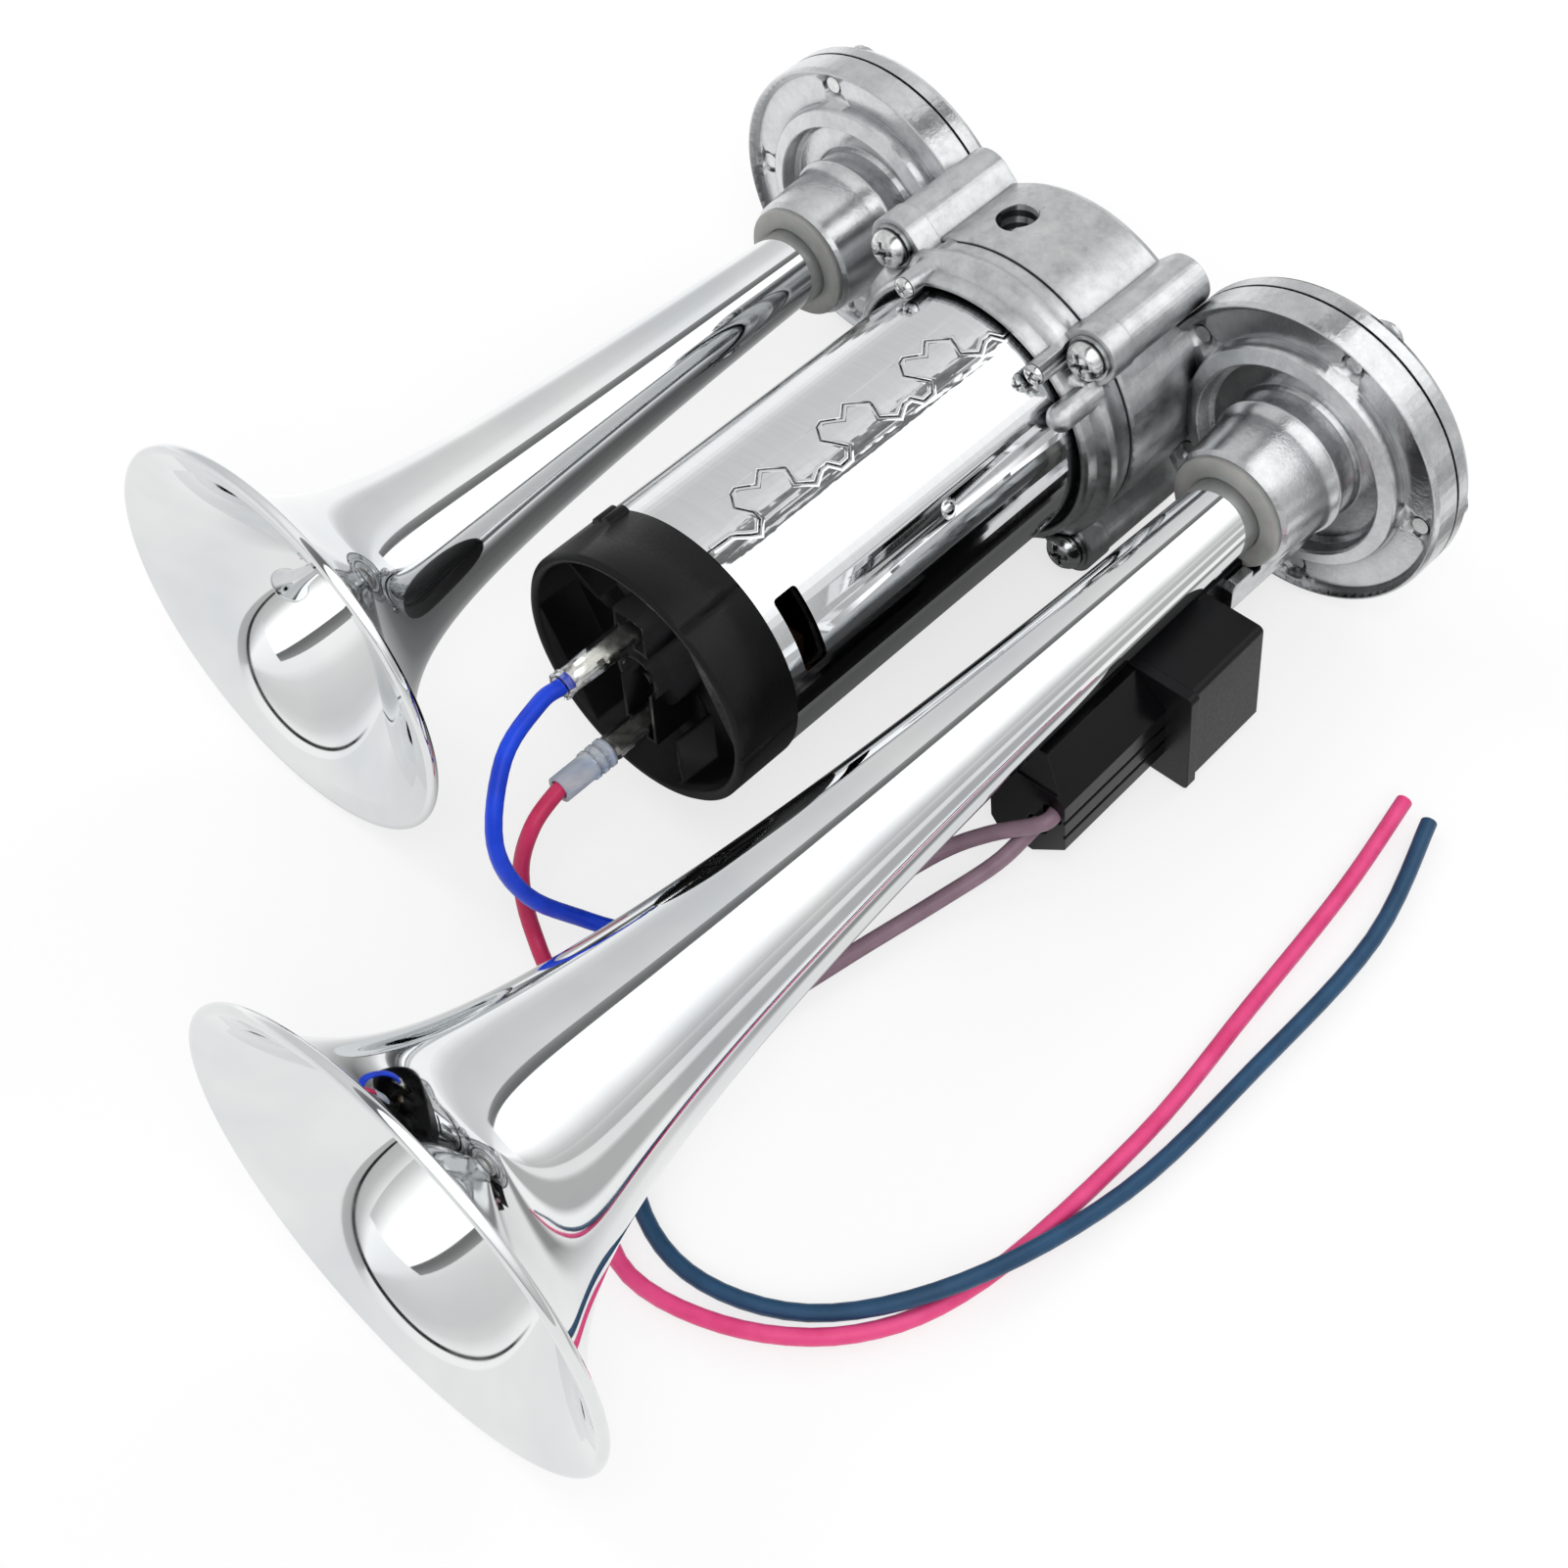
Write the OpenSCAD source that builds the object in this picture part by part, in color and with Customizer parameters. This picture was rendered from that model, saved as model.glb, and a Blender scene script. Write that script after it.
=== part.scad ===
// Twin-trumpet electric air horn with its own compressor motor, relay and wires.
// Millimetres. +Y runs from the bells to the sound heads, +X from the short
// trumpet to the long one, +Z up. The origin is the mouth of the threaded
// mounting hole on top of the manifold.

/* [Trumpets] */
// distance between the axes of the two trumpets
trumpet_spacing = 90; // [88:1:100]
// outer radius of the long trumpet's bell
long_bell_r = 38.4; // [36:0.2:42]
// length of the long trumpet from the mouth to its small end
long_len = 178; // [160:1:200]
// outer radius of the short trumpet's bell
short_bell_r = 34.6; // [31:0.2:36]
// length of the short trumpet from the mouth to its small end
short_len = 121; // [108:1:135]
// wall of the trumpets
wall = 1.1; // [0.9:0.1:1.4]

/* [Sound heads] */
// outer radius of the round sound heads
head_r = 27; // [26.5:0.5:30]
// radius of the necks that hold the trumpets
neck_r = 10.6; // [10.2:0.1:11.4]

/* [Motor] */
// outer radius of the flux ring rolled round the motor
ring_r = 21.9; // [21:0.1:22.5]
// length of the end cap
cap_len = 12; // [11:0.5:14]

/* [Manifold] */
// diameter of the threaded mounting hole, tapping size
mount_d = 6.8; // [5:0.1:7]

/* [Wires] */
// outer diameter of the insulated wires
wire_d = 2.6; // [2.2:0.1:2.7]

/* [Output] */
// the piece to draw

/* [Hidden] */
$fn = 72;
// names of the pieces

// motor can and end cap, dome and the circle through the four long screws
can_r = ring_r - 1.05;
cap_r = ring_r + 0.3;
dome_r = ring_r + 4.1;
screw_circle = dome_r + 2.5;
// height of the trumpet axes over the motor axis, and their small ends
trumpet_rise = 1;
tube_r = 6.4;
tube_tail = 9;

// where the motor frame (cap front, motor axis) lies in the part's own frame
hole_x = -6;
hole_y = 94;
hole_z = sqrt(dome_r * dome_r - hole_x * hole_x);
tx = trumpet_spacing / 2;

// stations along Y in the motor frame
ring_y0 = cap_len + 0.3;
motor_y1 = 77;
plate_y0 = 80.1;
plate_y1 = 85.2;
dome_y1 = 104.6;
neck_y0 = 84.6;
tube_y1 = 90.4;
face_y = 101.6;
rim_y = 100;
seam_y = 105.4;
long_mouth_y = tube_y1 - long_len;
short_mouth_y = tube_y1 - short_len;

// flare curves: a wide slow swell, its length, and the length of the steep one
long_curve = [17.8, 63, 9.75];
short_curve = [11.5, 83, 9.4];
bead_r = 0.9;

// the surface the horn stands on touches the heads' rims and the lower of the
// bells, so it slopes a little in this frame
rim_low = trumpet_rise - head_r;
function slope_to(bell_r, mouth_y) = (bell_r - head_r) / (rim_y + 1.2 - mouth_y);
bench_slope = max(slope_to(long_bell_r, long_mouth_y), slope_to(short_bell_r, short_mouth_y));
function bench_z(y) = rim_low - bench_slope * (rim_y + 1.2 - y);

// colours by look
chrome = [0.86, 0.87, 0.88];
cast = [0.66, 0.67, 0.68];
plated = [0.78, 0.79, 0.80];
black = [0.09, 0.09, 0.10];
dark_steel = [0.30, 0.30, 0.32];
copper = [0.72, 0.42, 0.24];
brass = [0.80, 0.66, 0.36];
seal_grey = [0.72, 0.71, 0.67];
clear = [0.80, 0.84, 0.88, 0.6];

module in_place() translate([-hole_x, -hole_y, -hole_z]) children();

// turns a shape drawn along Z to run along Y, keeping X and the angle to X
module axial(y = 0, x = 0, z = 0)
  translate([x, y, z]) rotate([90, 0, 0]) mirror([0, 0, 1]) children();

module tube(ro, ri, len) difference() {
  cylinder(r = ro, h = len);
  translate([0, 0, -1]) cylinder(r = ri, h = len + 2);
}

// radius of the outer flare at distance t from the mouth, straight at the small end
function flare_r(t, mouth, len, c) =
  let(n = len - tube_tail, c0 = tube_r - c[0] * exp(-n / c[1]), a = mouth - bead_r - c0 - c[0])
  t >= n ? tube_r : c0 + c[0] * exp(-t / c[1]) + a * exp(-t / c[2]);
function flare_slope(t, mouth, len, c) =
  (flare_r(t + 0.01, mouth, len, c) - flare_r(t, mouth, len, c)) / 0.01;
function flare_in(t, mouth, len, c) =
  flare_r(t, mouth, len, c) - wall * sqrt(1 + pow(flare_slope(t, mouth, len, c), 2));
// stations, closer together near the mouth
function stations(len, n) = concat([for (i = [0:n]) (len - tube_tail) * pow(i / n, 1.9)], [len]);

module trumpet(mouth, length, c) {
  t = stations(length, 30);
  outer = [for (s = t) [flare_r(s, mouth, length, c), s]];
  inner = [for (i = [len(t) - 1:-1:0]) [flare_in(t[i], mouth, length, c), t[i]]];
  rotate_extrude($fn = 96) polygon(concat(outer, inner));
  translate([0, 0, bead_r * 0.5]) rotate_extrude($fn = 96)
    translate([mouth - bead_r, 0]) circle(r = bead_r, $fn = 20);
}

module trumpet_long() color(chrome)
  axial(long_mouth_y, tx, trumpet_rise) trumpet(long_bell_r, long_len, long_curve);

module trumpet_short() color(chrome)
  axial(short_mouth_y, -tx, trumpet_rise) trumpet(short_bell_r, short_len, short_curve);

// one soft ring in each neck, with a flange lying on the neck's end
seal_r = neck_r - 1.7;
flange_r = neck_r - 0.8;
seal_y0 = neck_y0 - 1.5;
seal_y1 = tube_y1 - 0.2;
module trumpet_seals() color(seal_grey) for (s = [-1, 1])
  axial(0, s * tx, trumpet_rise) rotate_extrude()
  polygon([[tube_r + 0.05, seal_y0 + 0.5], [tube_r + 0.5, seal_y0], [flange_r - 0.5, seal_y0],
    [flange_r, seal_y0 + 0.5], [flange_r, neck_y0 - 0.05], [seal_r, neck_y0 - 0.05],
    [seal_r, seal_y1], [tube_r + 0.05, seal_y1]]);

// sound heads: straight neck, deep dish, flat polished ring, screw face, rolled rim
screw_r = head_r - 3.7;
// angles of a head's screws, wider apart where the duct's foot is
screw_as = [-3.5, 71, 147.5, 212, 277];
neck_bore = seal_r + 0.05;
neck_y1 = 97;
dish_y = 101.8;
ring_in = screw_r - 6;
ring_out = screw_r - 3.3;
throat_r = 5.3;
land_r = 10;
chamber_r = screw_r - 3.9;
chamber_y = 103.6;
module head_profile() rotate_extrude($fn = 96) polygon([[0, neck_y0], [neck_r - 0.8, neck_y0],
  [neck_r - 0.1, neck_y0 + 0.7], [neck_r, neck_y0 + 1.6], [neck_r + 1, neck_y1 - 0.6],
  [neck_r + 1.5, neck_y1 - 0.4], [neck_r + 1.5, neck_y1], [neck_r + 0.9, neck_y1 + 0.2],
  [neck_r + 0.9, dish_y - 0.8], [neck_r + 1.5, dish_y], [ring_in - 1.4, dish_y],
  [ring_in - 0.6, dish_y - 0.7], [ring_in - 0.3, 98.9], [ring_in, 98.6], [ring_out - 0.3, 99.4],
  [ring_out, 99.8], [ring_out + 0.3, face_y], [head_r - 1.7, face_y], [head_r - 1.2, rim_y + 0.6],
  [head_r - 0.5, rim_y], [head_r - 0.2, rim_y + 0.2], [head_r, rim_y + 1],
  [head_r, seam_y], [0, seam_y]]);
module head_hollow() {
  cylinder(r = neck_bore, h = tube_y1);
  cylinder(r = throat_r, h = 120);
  translate([0, 0, chamber_y]) tube(chamber_r, land_r, 20);
  translate([0, 0, seam_y - 0.7]) cylinder(r = chamber_r, h = 5);
}
// places a shape at each screw of a head, the short head's being the mirror image
module at_head_screws(s, y) axial(y) mirror([s > 0 ? 0 : 1, 0, 0])
  for (a = screw_as) rotate(a) translate([screw_r, 0, 0]) children();
module at_heads() for (s = [-1, 1]) translate([s * tx, 0, trumpet_rise]) {
  $side = s;
  children();
}
module along_x(s, x, y) translate([s * x, y, trumpet_rise]) rotate([0, 90 * s, 0]) children();

rib_a = [45.5, 134, 231, 309];
rib_r = 4.5;
// air ways inside the casting: out from the pump, then back into a head's chamber
way_r = 1.1;
way_y = 100.6;
way_x = tx - (ring_in + ring_out) / 2;

// lug under the right neck that carries the relay: a thin web, with the relay's
// tab against its inner side
web_x = tx + 4.6;
web_t = 2.2;
tab_t = 3;
tab_x = web_x - tab_t;
tab_y = 80.2;
tab_z = -9.2;
tab_h = 7;
web_z = tab_z - 2.2;

// the one-piece casting: dome, screw ribs, both heads and the relay's lug
module housing() color(cast) difference() {
  union() {
    axial() rotate_extrude($fn = 96) polygon([[0, plate_y1], [dome_r - 0.4, plate_y1],
      [dome_r, plate_y1 + 0.5], [dome_r, dome_y1 - 1.6], [dome_r - 0.6, dome_y1 - 0.5],
      [dome_r - 1.8, dome_y1], [0, dome_y1]]);
    for (a = rib_a) axial(plate_y1) rotate(a) {
      translate([screw_circle, 0, 0]) cylinder(r = rib_r, h = dome_y1 - plate_y1 - 0.6, $fn = 40);
      translate([20, -rib_r, 0]) cube([screw_circle - 20, 2 * rib_r, dome_y1 - plate_y1 - 0.6]);
    }
    at_heads() axial() head_profile();
    translate([web_x, 0, 0]) rotate([90, 0, 90]) linear_extrude(web_t) polygon([
      [tab_y - 2.4, web_z], [face_y, web_z], [face_y, tab_z + 6], [neck_y0 + 0.3, tab_z + 6],
      [neck_y0 + 0.3, web_z + 3.6], [seal_y0 - 0.3, web_z + 3.6], [seal_y0 - 0.3, tab_z + 2.8],
      [tab_y - 1.4, tab_z + 2.8], [tab_y - 2.4, tab_z + 1.6]]);
  }
  at_heads() {
    axial() head_hollow();
    at_head_screws($side, 90) cylinder(r = 1.5, h = 20, $fn = 24);
    at_head_screws($side, 98) cylinder(r = 2.1, h = face_y + 1.1 - 98, $fn = 32);
  }
  // pump chamber, air ways to the heads' chambers
  axial(plate_y1 - 1) cylinder(r = pump_r + 0.05, h = pump_y1 - plate_y1 + 1);
  for (s = [-1, 1]) {
    along_x(s, 10, way_y) cylinder(r = way_r, h = way_x - 10, $fn = 32);
    axial(way_y, s * way_x, trumpet_rise) cylinder(r = way_r, h = 4, $fn = 32);
  }
  for (a = rib_a) axial(plate_y1 - 1) rotate(a) translate([screw_circle, 0, 0])
    cylinder(r = 1.9, h = 15, $fn = 28);
  // mounting hole with its countersink
  translate([hole_x, hole_y, hole_z - mount_deep])
    cylinder(d = mount_d, h = mount_deep + 9, $fn = 48);
  translate([hole_x, hole_y, hole_z - 0.7])
    cylinder(r1 = mount_d / 2, r2 = mount_d / 2 + 1.1, h = 1.1, $fn = 48);
  // thread of the relay's screw
  translate([web_x - 1, tab_y, tab_z]) rotate([0, 90, 0])
    cylinder(r = 1.5, h = 1 + web_t - 0.6, $fn = 24);
}
mount_deep = 8;
pump_r = 16.6;
pump_y1 = 102.4;

// ring gasket, spring steel diaphragm over the throat's land, and rear cover
gasket_t = 0.5;
disc_t = 0.3;
module head_gaskets() color(dark_steel) at_heads() difference() {
  axial(seam_y) tube(head_r - 0.5, chamber_r + 0.3, gasket_t);
  at_head_screws($side, seam_y - 1) cylinder(r = 1.5, h = 6, $fn = 24);
}
module diaphragms() color(plated) at_heads() axial(seam_y + gasket_t) difference() {
  cylinder(r = screw_r - 1.8, h = disc_t);
  translate([0, 0, -1]) tube(14.3, 13.7, 1.12);
}
boss_y = seam_y + 4.6;
module head_cover(s) difference() {
  union() {
    axial(seam_y + gasket_t) rotate_extrude($fn = 96) polygon([[screw_r - 1.75, 0], [head_r, 0],
      [head_r, 2.2], [head_r - 0.4, 3], [head_r - 1.2, 3.2], [screw_r - 1.3, 3],
      [screw_r - 1.9, 2], [screw_r - 8.9, 2], [screw_r - 9.7, 2.8], [9.6, 3.8], [0, 4], [0, 2.8],
      [9, 2.6], [screw_r - 10.3, 1.4], [screw_r - 6.3, 1.2], [screw_r - 6.3, disc_t],
      [screw_r - 1.75, disc_t]]);
    at_head_screws(s, seam_y + 1.8) cylinder(r = 3.2, h = boss_y - seam_y - 1.8, $fn = 32);
  }
  at_head_screws(s, seam_y - 1) cylinder(r = 1.45, h = 12, $fn = 24);
}
module head_cover_long() color(cast) translate([tx, 0, trumpet_rise]) head_cover(1);
module head_cover_short() color(cast) translate([-tx, 0, trumpet_rise]) head_cover(-1);

// cross recess of a driver, cut down from z = 0
module cross_slot(r, depth) {
  for (a = [20, 110]) rotate(a) translate([-r, -r * 0.24, -depth]) cube([2 * r, r * 0.48, depth + 1]);
  translate([0, 0, -depth - r * 0.4]) cylinder(r1 = 0.1, r2 = r * 0.5, h = r * 0.4 + 0.01, $fn = 24);
}
// pan head screw, its head's seat at z = 0 and its shank along +Z
module pan_screw(head, high, shank, long) difference() {
  union() {
    translate([0, 0, -high]) rotate_extrude($fn = 40)
      polygon([[0, 0], [head * 0.5, 0.06 * high], [head * 0.8, 0.24 * high],
        [head * 0.96, 0.5 * high], [head, 0.75 * high], [head, high], [0, high]]);
    translate([0, 0, -high / 2]) cylinder(r = shank, h = long + high / 2, $fn = 28);
  }
  translate([0, 0, -high]) mirror([0, 0, 1]) cross_slot(head * 0.62, high * 0.55);
}
// the heads' screws go in from behind and end just inside the front face
module head_screw_set(s) translate([s * tx, 0, trumpet_rise]) at_head_screws(s, boss_y)
  mirror([0, 0, 1]) pan_screw(2.7, 1.6, 1.4, boss_y - face_y - 0.4);
module head_screws_long() color(plated) head_screw_set(1);
module head_screws_short() color(plated) head_screw_set(-1);

// front plate of the pump: ears, locating lip round the motor and two screw lugs
lug_a = [118, 51.5];
lug_r = ring_r + 2.1;
lug_y = 73.4;
motor_screw_r = 14.5;
motor_screw_y = 82.6;
module front_plate() color(cast) difference() {
  union() {
    axial() rotate_extrude($fn = 96) polygon([[0, 77.6], [ring_r + 0.7, 77.6],
      [ring_r + 0.7, 76.2], [ring_r + 1.1, 75.8], [ring_r + 1.7, 75.8], [ring_r + 2.2, 76.4],
      [ring_r + 2.4, 78.2], [dome_r - 0.6, 78.7], [dome_r + 0.2, 79.4], [dome_r + 0.5, 80.4],
      [dome_r + 0.3, 81.5], [dome_r - 0.4, 82.3], [dome_r - 0.5, plate_y1 - 0.5],
      [dome_r - 0.8, plate_y1], [0, plate_y1]]);
    for (a = rib_a) axial(plate_y0 + 0.4) rotate(a) {
      translate([screw_circle, 0, 0])
        cylinder(r = rib_r + 0.3, h = plate_y1 - plate_y0 - 0.4, $fn = 40);
      translate([18, -rib_r - 0.3, 0])
        cube([screw_circle - 18, 2 * rib_r + 0.6, plate_y1 - plate_y0 - 0.4]);
    }
    for (a = lug_a) axial(lug_y) rotate(a) translate([lug_r, 0, 0])
      cylinder(r = 1.9, h = plate_y1 - lug_y, $fn = 32);
    axial(73.2) rotate(33) translate([lug_r + 0.4, 0, 0]) {
      cylinder(r = 2.3, h = 8, $fn = 32);
      sphere(r = 2.3, $fn = 32);
    }
  }
  axial(60) cylinder(r = ring_r + 0.05, h = motor_y1 + 0.65 - 60, $fn = 96);
  axial(60) cylinder(r = 5.6, h = 40);
  for (a = rib_a) axial(60) rotate(a) translate([screw_circle, 0, 0]) {
    cylinder(r = 1.95, h = 40, $fn = 28);
    cylinder(r = 4.3, h = plate_y0 + 0.4 - 60, $fn = 40);
  }
  for (a = lug_a) axial(lug_y - 1) rotate(a) translate([lug_r, 0, 0])
    cylinder(r = 0.95, h = 8, $fn = 20);
  for (a = [20, 200]) rotate([0, -a, 0]) translate([motor_screw_r, 0, 0]) {
    axial(60) cylinder(r = 2.05, h = 40, $fn = 24);
    axial(motor_screw_y) cylinder(r = 3.7, h = 20, $fn = 32);
  }
}

washer_t = 0.7;
washer_y = plate_y0 + 0.4 - washer_t;
module at_ribs() for (a = rib_a) axial(washer_y) rotate(a) translate([screw_circle, 0, 0])
  rotate(-a) children();
module manifold_screws() color(plated) at_ribs() pan_screw(3.3, 2.5, 1.85, 18);
module screw_washers() color(plated) at_ribs() tube(3.8, 1.95, washer_t);
module plate_screws() color(plated) for (a = lug_a) axial(lug_y) rotate(a)
  translate([lug_r, 0, 0]) pan_screw(1.8, 1.1, 0.9, 6);
module motor_screws() color(plated) for (a = [20, 200]) rotate([0, -a, 0])
  translate([motor_screw_r, 0, 0]) axial(motor_screw_y) mirror([0, 0, 1])
    pan_screw(3.4, 2.1, 1.95, 8.6);

// vane pump in the dome: cam ring, end plate, slotted rotor and four vanes
rotor_r = 12;
cam_r = 14;
cam_drop = 1.5;
shaft_r = 1.6;
pump_y0 = plate_y1 + 1.6;
rotor_len = pump_y1 - pump_y0 - 0.2;
module pump_ring() color(dark_steel) difference() {
  axial(pump_y0) cylinder(r = pump_r, h = pump_y1 - pump_y0);
  axial(pump_y0 - 1, 0, -cam_drop) cylinder(r = cam_r, h = 40);
  for (s = [-1, 1]) along_x(s, 10, way_y) cylinder(r = way_r, h = 20, $fn = 24);
}
module pump_plate() color(dark_steel) axial(plate_y1) difference() {
  cylinder(r = pump_r, h = pump_y0 - plate_y1);
  translate([0, 0, -1]) cylinder(r = 3.2, h = 5, $fn = 32);
  for (a = [70, 110]) rotate(a) translate([9, 0, -1]) cylinder(r = 1.5, h = 5, $fn = 20);
}
module pump_rotor() color(dark_steel) axial(pump_y0 + 0.1) difference() {
  cylinder(r = rotor_r, h = rotor_len);
  translate([0, 0, -1]) cylinder(r = shaft_r, h = 40, $fn = 32);
  for (a = [0:90:270]) rotate(a) translate([5.5, -0.8, -1]) cube([10, 1.6, 40]);
}
module pump_vanes() color(black) axial(pump_y0 + 0.2) for (a = [0:90:270]) rotate(a)
  translate([5.6, -0.75, 0]) cube([6.6, 1.5, rotor_len - 0.2]);

// motor: steel can, flux ring rolled round it, end cap
slot_y = 15;
slot_mid = 29.7;
slot_w = 2.3;
slot_half = 6.2;
slot_round = 0.7;
// vent slot with rounded corners, cut straight through along its middle angle
module slot_cut() rotate([0, -slot_mid, 0]) translate([15, slot_y + slot_w, 0])
  rotate([90, 0, 90]) linear_extrude(12) polygon([for (q = [[1, 1], [-1, 1], [-1, -1], [1, -1]])
    for (i = [0:3]) let(a = atan2(q[1], q[0]) - 45 + 30 * i)
    [q[0] * (slot_w - slot_round) + slot_round * cos(a),
      q[1] * (slot_half - slot_round) + slot_round * sin(a)]]);
module motor_can() color(dark_steel) difference() {
  axial(ring_y0) cylinder(r = can_r, h = motor_y1 - ring_y0);
  axial(ring_y0 - 1) cylinder(r = can_r - 1, h = motor_y1 - ring_y0 - 0.2);
  axial(70) cylinder(r = 5.1, h = 20);
  for (a = [20, 200]) rotate([0, -a, 0]) axial(70, motor_screw_r) cylinder(r = 2, h = 20, $fn = 24);
  slot_cut();
}

// seam of the rolled flux ring: three interlocking crowns, given as distance along
// the ring and distance round it, cut through the wall as a thin line
seam_a = 80.3;
seam_w = 0.3;
crown_y0 = 20.9;
crown_pitch = 18.4;
crown = [[0, 1.3], [1.6, 3.6], [2.8, 4], [5.4, 2.1], [7.8, 4], [10.9, 1.3], [9.8, -1.6],
  [12.2, -3.4], [14.4, -2.2], [16, -2.2], [17.2, -3.9], [19.2, -3.8], [20.8, -2.2], [20.2, -1.4]];
seam_path = concat([[10, -1.6], [17, -1.9], [19.3, -3.6], [20.4, -4.2], [22.2, -2.6], [22.4, -1.2]],
  [for (k = [0:2]) for (q = crown) [crown_y0 + k * crown_pitch + q[0], q[1]]], [[80, -1.4]]);
module stroke(path, w) for (i = [0:len(path) - 2]) {
  d = path[i + 1] - path[i];
  translate(path[i]) rotate(atan2(d[1], d[0])) translate([-w / 2, -w / 2]) square([norm(d) + w, w]);
}
module seam_cut() rotate([0, -seam_a, 0]) translate([can_r - 2, 0, 0])
  rotate([90, 0, 90]) linear_extrude(6) stroke(seam_path, seam_w);
// staked spot, given as distance along the ring and angle
spot = [49.3, 30];
module flux_ring() color(chrome) difference() {
  axial(ring_y0) tube(ring_r, can_r + 0.05, motor_y1 - 0.8 - ring_y0);
  slot_cut();
  seam_cut();
  rotate([0, -spot[1], 0]) translate([ring_r - 0.4, spot[0], 0]) rotate([0, 90, 0])
    tube(1.7, 1, 2);
}

// plastic end cap: open bowl with flat-faced side panels, a bearing boss with a
// rim, two ribs, a narrow well for each blade and a pair of snap humps
blade_z = 10.2;
bowl_r = cap_r - 1.8;
floor_y = 8.4;
panel_a = [-3, 58.5];
panel_mid = (panel_a[0] + panel_a[1]) / 2;
panel_d = bowl_r * cos((panel_a[1] - panel_a[0]) / 2);
well_w = 3.2;
well_t = 0.6;
well_y0 = 0.6;
well_z = [[-12.8, 2.8], [6.6, 13.4]];
hump_a = [121.5, 128];
module motor_cap() color(black) difference() {
  union() {
    axial() rotate_extrude($fn = 96) polygon([[bowl_r, 0.5], [bowl_r + 0.5, 0], [cap_r - 0.6, 0],
      [cap_r, 0.6], [cap_r, cap_len], [can_r - 1.2, cap_len], [can_r - 1.2, cap_len + 2.2],
      [can_r - 2.1, cap_len + 2.2], [can_r - 2.1, cap_len - 1], [6.5, cap_len - 1],
      [6.5, floor_y], [bowl_r, floor_y]]);
    for (a = [panel_mid, panel_mid + 180]) axial(0.9) rotate(a) intersection() {
      cylinder(r = bowl_r + 0.4, h = floor_y, $fn = 96);
      translate([panel_d, -bowl_r, 0]) cube([6, 2 * bowl_r, floor_y]);
    }
    axial(3.4) cylinder(r = 6.6, h = cap_len - 4.4);
    axial(1.2) cylinder(r = 4.3, h = 3);
    axial(4.6) rotate(150) translate([12.8, -0.5, 0]) cube([bowl_r - 12.4, 1, 5]);
    translate([6.6, 1.4, -19]) cube([0.9, 8, 9.4]);
    for (w = well_z) translate([-well_w, well_y0, w[0]])
      cube([2 * well_w, floor_y + 0.6 - well_y0, w[1] - w[0]]);
    for (a = hump_a) axial(floor_y) rotate(a) translate([cap_r - 0.6, 0, 0])
      cylinder(r = 1.5, h = cap_len - floor_y, $fn = 24);
  }
  axial() cylinder(r = 3.4, h = 4);
  axial(bearing_y0) cylinder(r = 4.55, h = 20);
  axial(4.6) cylinder(r = shaft_r + 0.5, h = 5, $fn = 32);
  for (z = [-1, 1]) translate([-blade_w / 2 - 0.1, 0, z * blade_z - 0.5])
    cube([blade_w + 0.2, 30, 1]);
  for (w = well_z) translate([well_t - well_w, well_y0 - 1, w[0] + well_t])
    cube([2 * (well_w - well_t), 6, w[1] - w[0] - 2 * well_t]);
  for (a = panel_a) for (h = [0, 180]) axial(-1) rotate(a + h) translate([cap_r - 0.35, -0.2, 0])
    cube([2, 0.4, cap_len + 2]);
}
bearing_y0 = cap_len - 6.4;

magnet_t = 5.2;
magnet_in = can_r - 1.05 - magnet_t;
core_out = magnet_in - 0.8;
module magnets() color(dark_steel) for (a = [0, 180]) axial(24) rotate(a - 55)
  rotate_extrude(angle = 110, $fn = 96) translate([magnet_in, 0]) square([magnet_t, 44]);

// armature: laminated core with five poles, coils, commutator and shaft
module armature_core() color(dark_steel) axial(28) difference() {
  cylinder(r = core_out, h = 36);
  translate([0, 0, -1]) cylinder(r = shaft_r, h = 40, $fn = 32);
  for (i = [0:4]) rotate(i * 72) {
    translate([6.4, -2.4, -1]) cube([core_out - 8, 4.8, 40]);
    translate([core_out - 3.8, -0.9, -1]) cube([6, 1.8, 40]);
  }
}
module armature_windings() color(copper) for (i = [0:4]) axial(26.4) rotate(i * 72)
  translate([6.5, -2.2, 0]) cube([core_out - 8.2, 4.4, 39.2]);
module commutator() color(brass) axial(17.6) difference() {
  union() {
    cylinder(r = 4.6, h = 8.2);
    translate([0, 0, 6.8]) cylinder(r = 6.2, h = 1.6);
  }
  translate([0, 0, -1]) cylinder(r = shaft_r, h = 20, $fn = 32);
  for (i = [0:4]) rotate(i * 72) translate([3.6, -0.25, -1]) cube([4, 0.5, 7]);
}
shaft_y0 = bearing_y0 - 0.7;
module motor_shaft() color(plated) axial(shaft_y0)
  cylinder(r = shaft_r, h = 100.4 - shaft_y0, $fn = 32);
module bearing_front() color(brass) axial(bearing_y0) difference() {
  cylinder(r = 4.5, h = 5);
  translate([0, 0, -1]) cylinder(r = shaft_r + 0.05, h = 10, $fn = 32);
}
module bearing_rear() color(brass) axial(motor_y1 - 4.1) difference() {
  union() {
    cylinder(r = 7, h = 2.9);
    cylinder(r = 5, h = 6.2);
  }
  translate([0, 0, -1]) cylinder(r = shaft_r + 0.05, h = 12, $fn = 32);
}
card_y0 = cap_len + 2.3;
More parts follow.
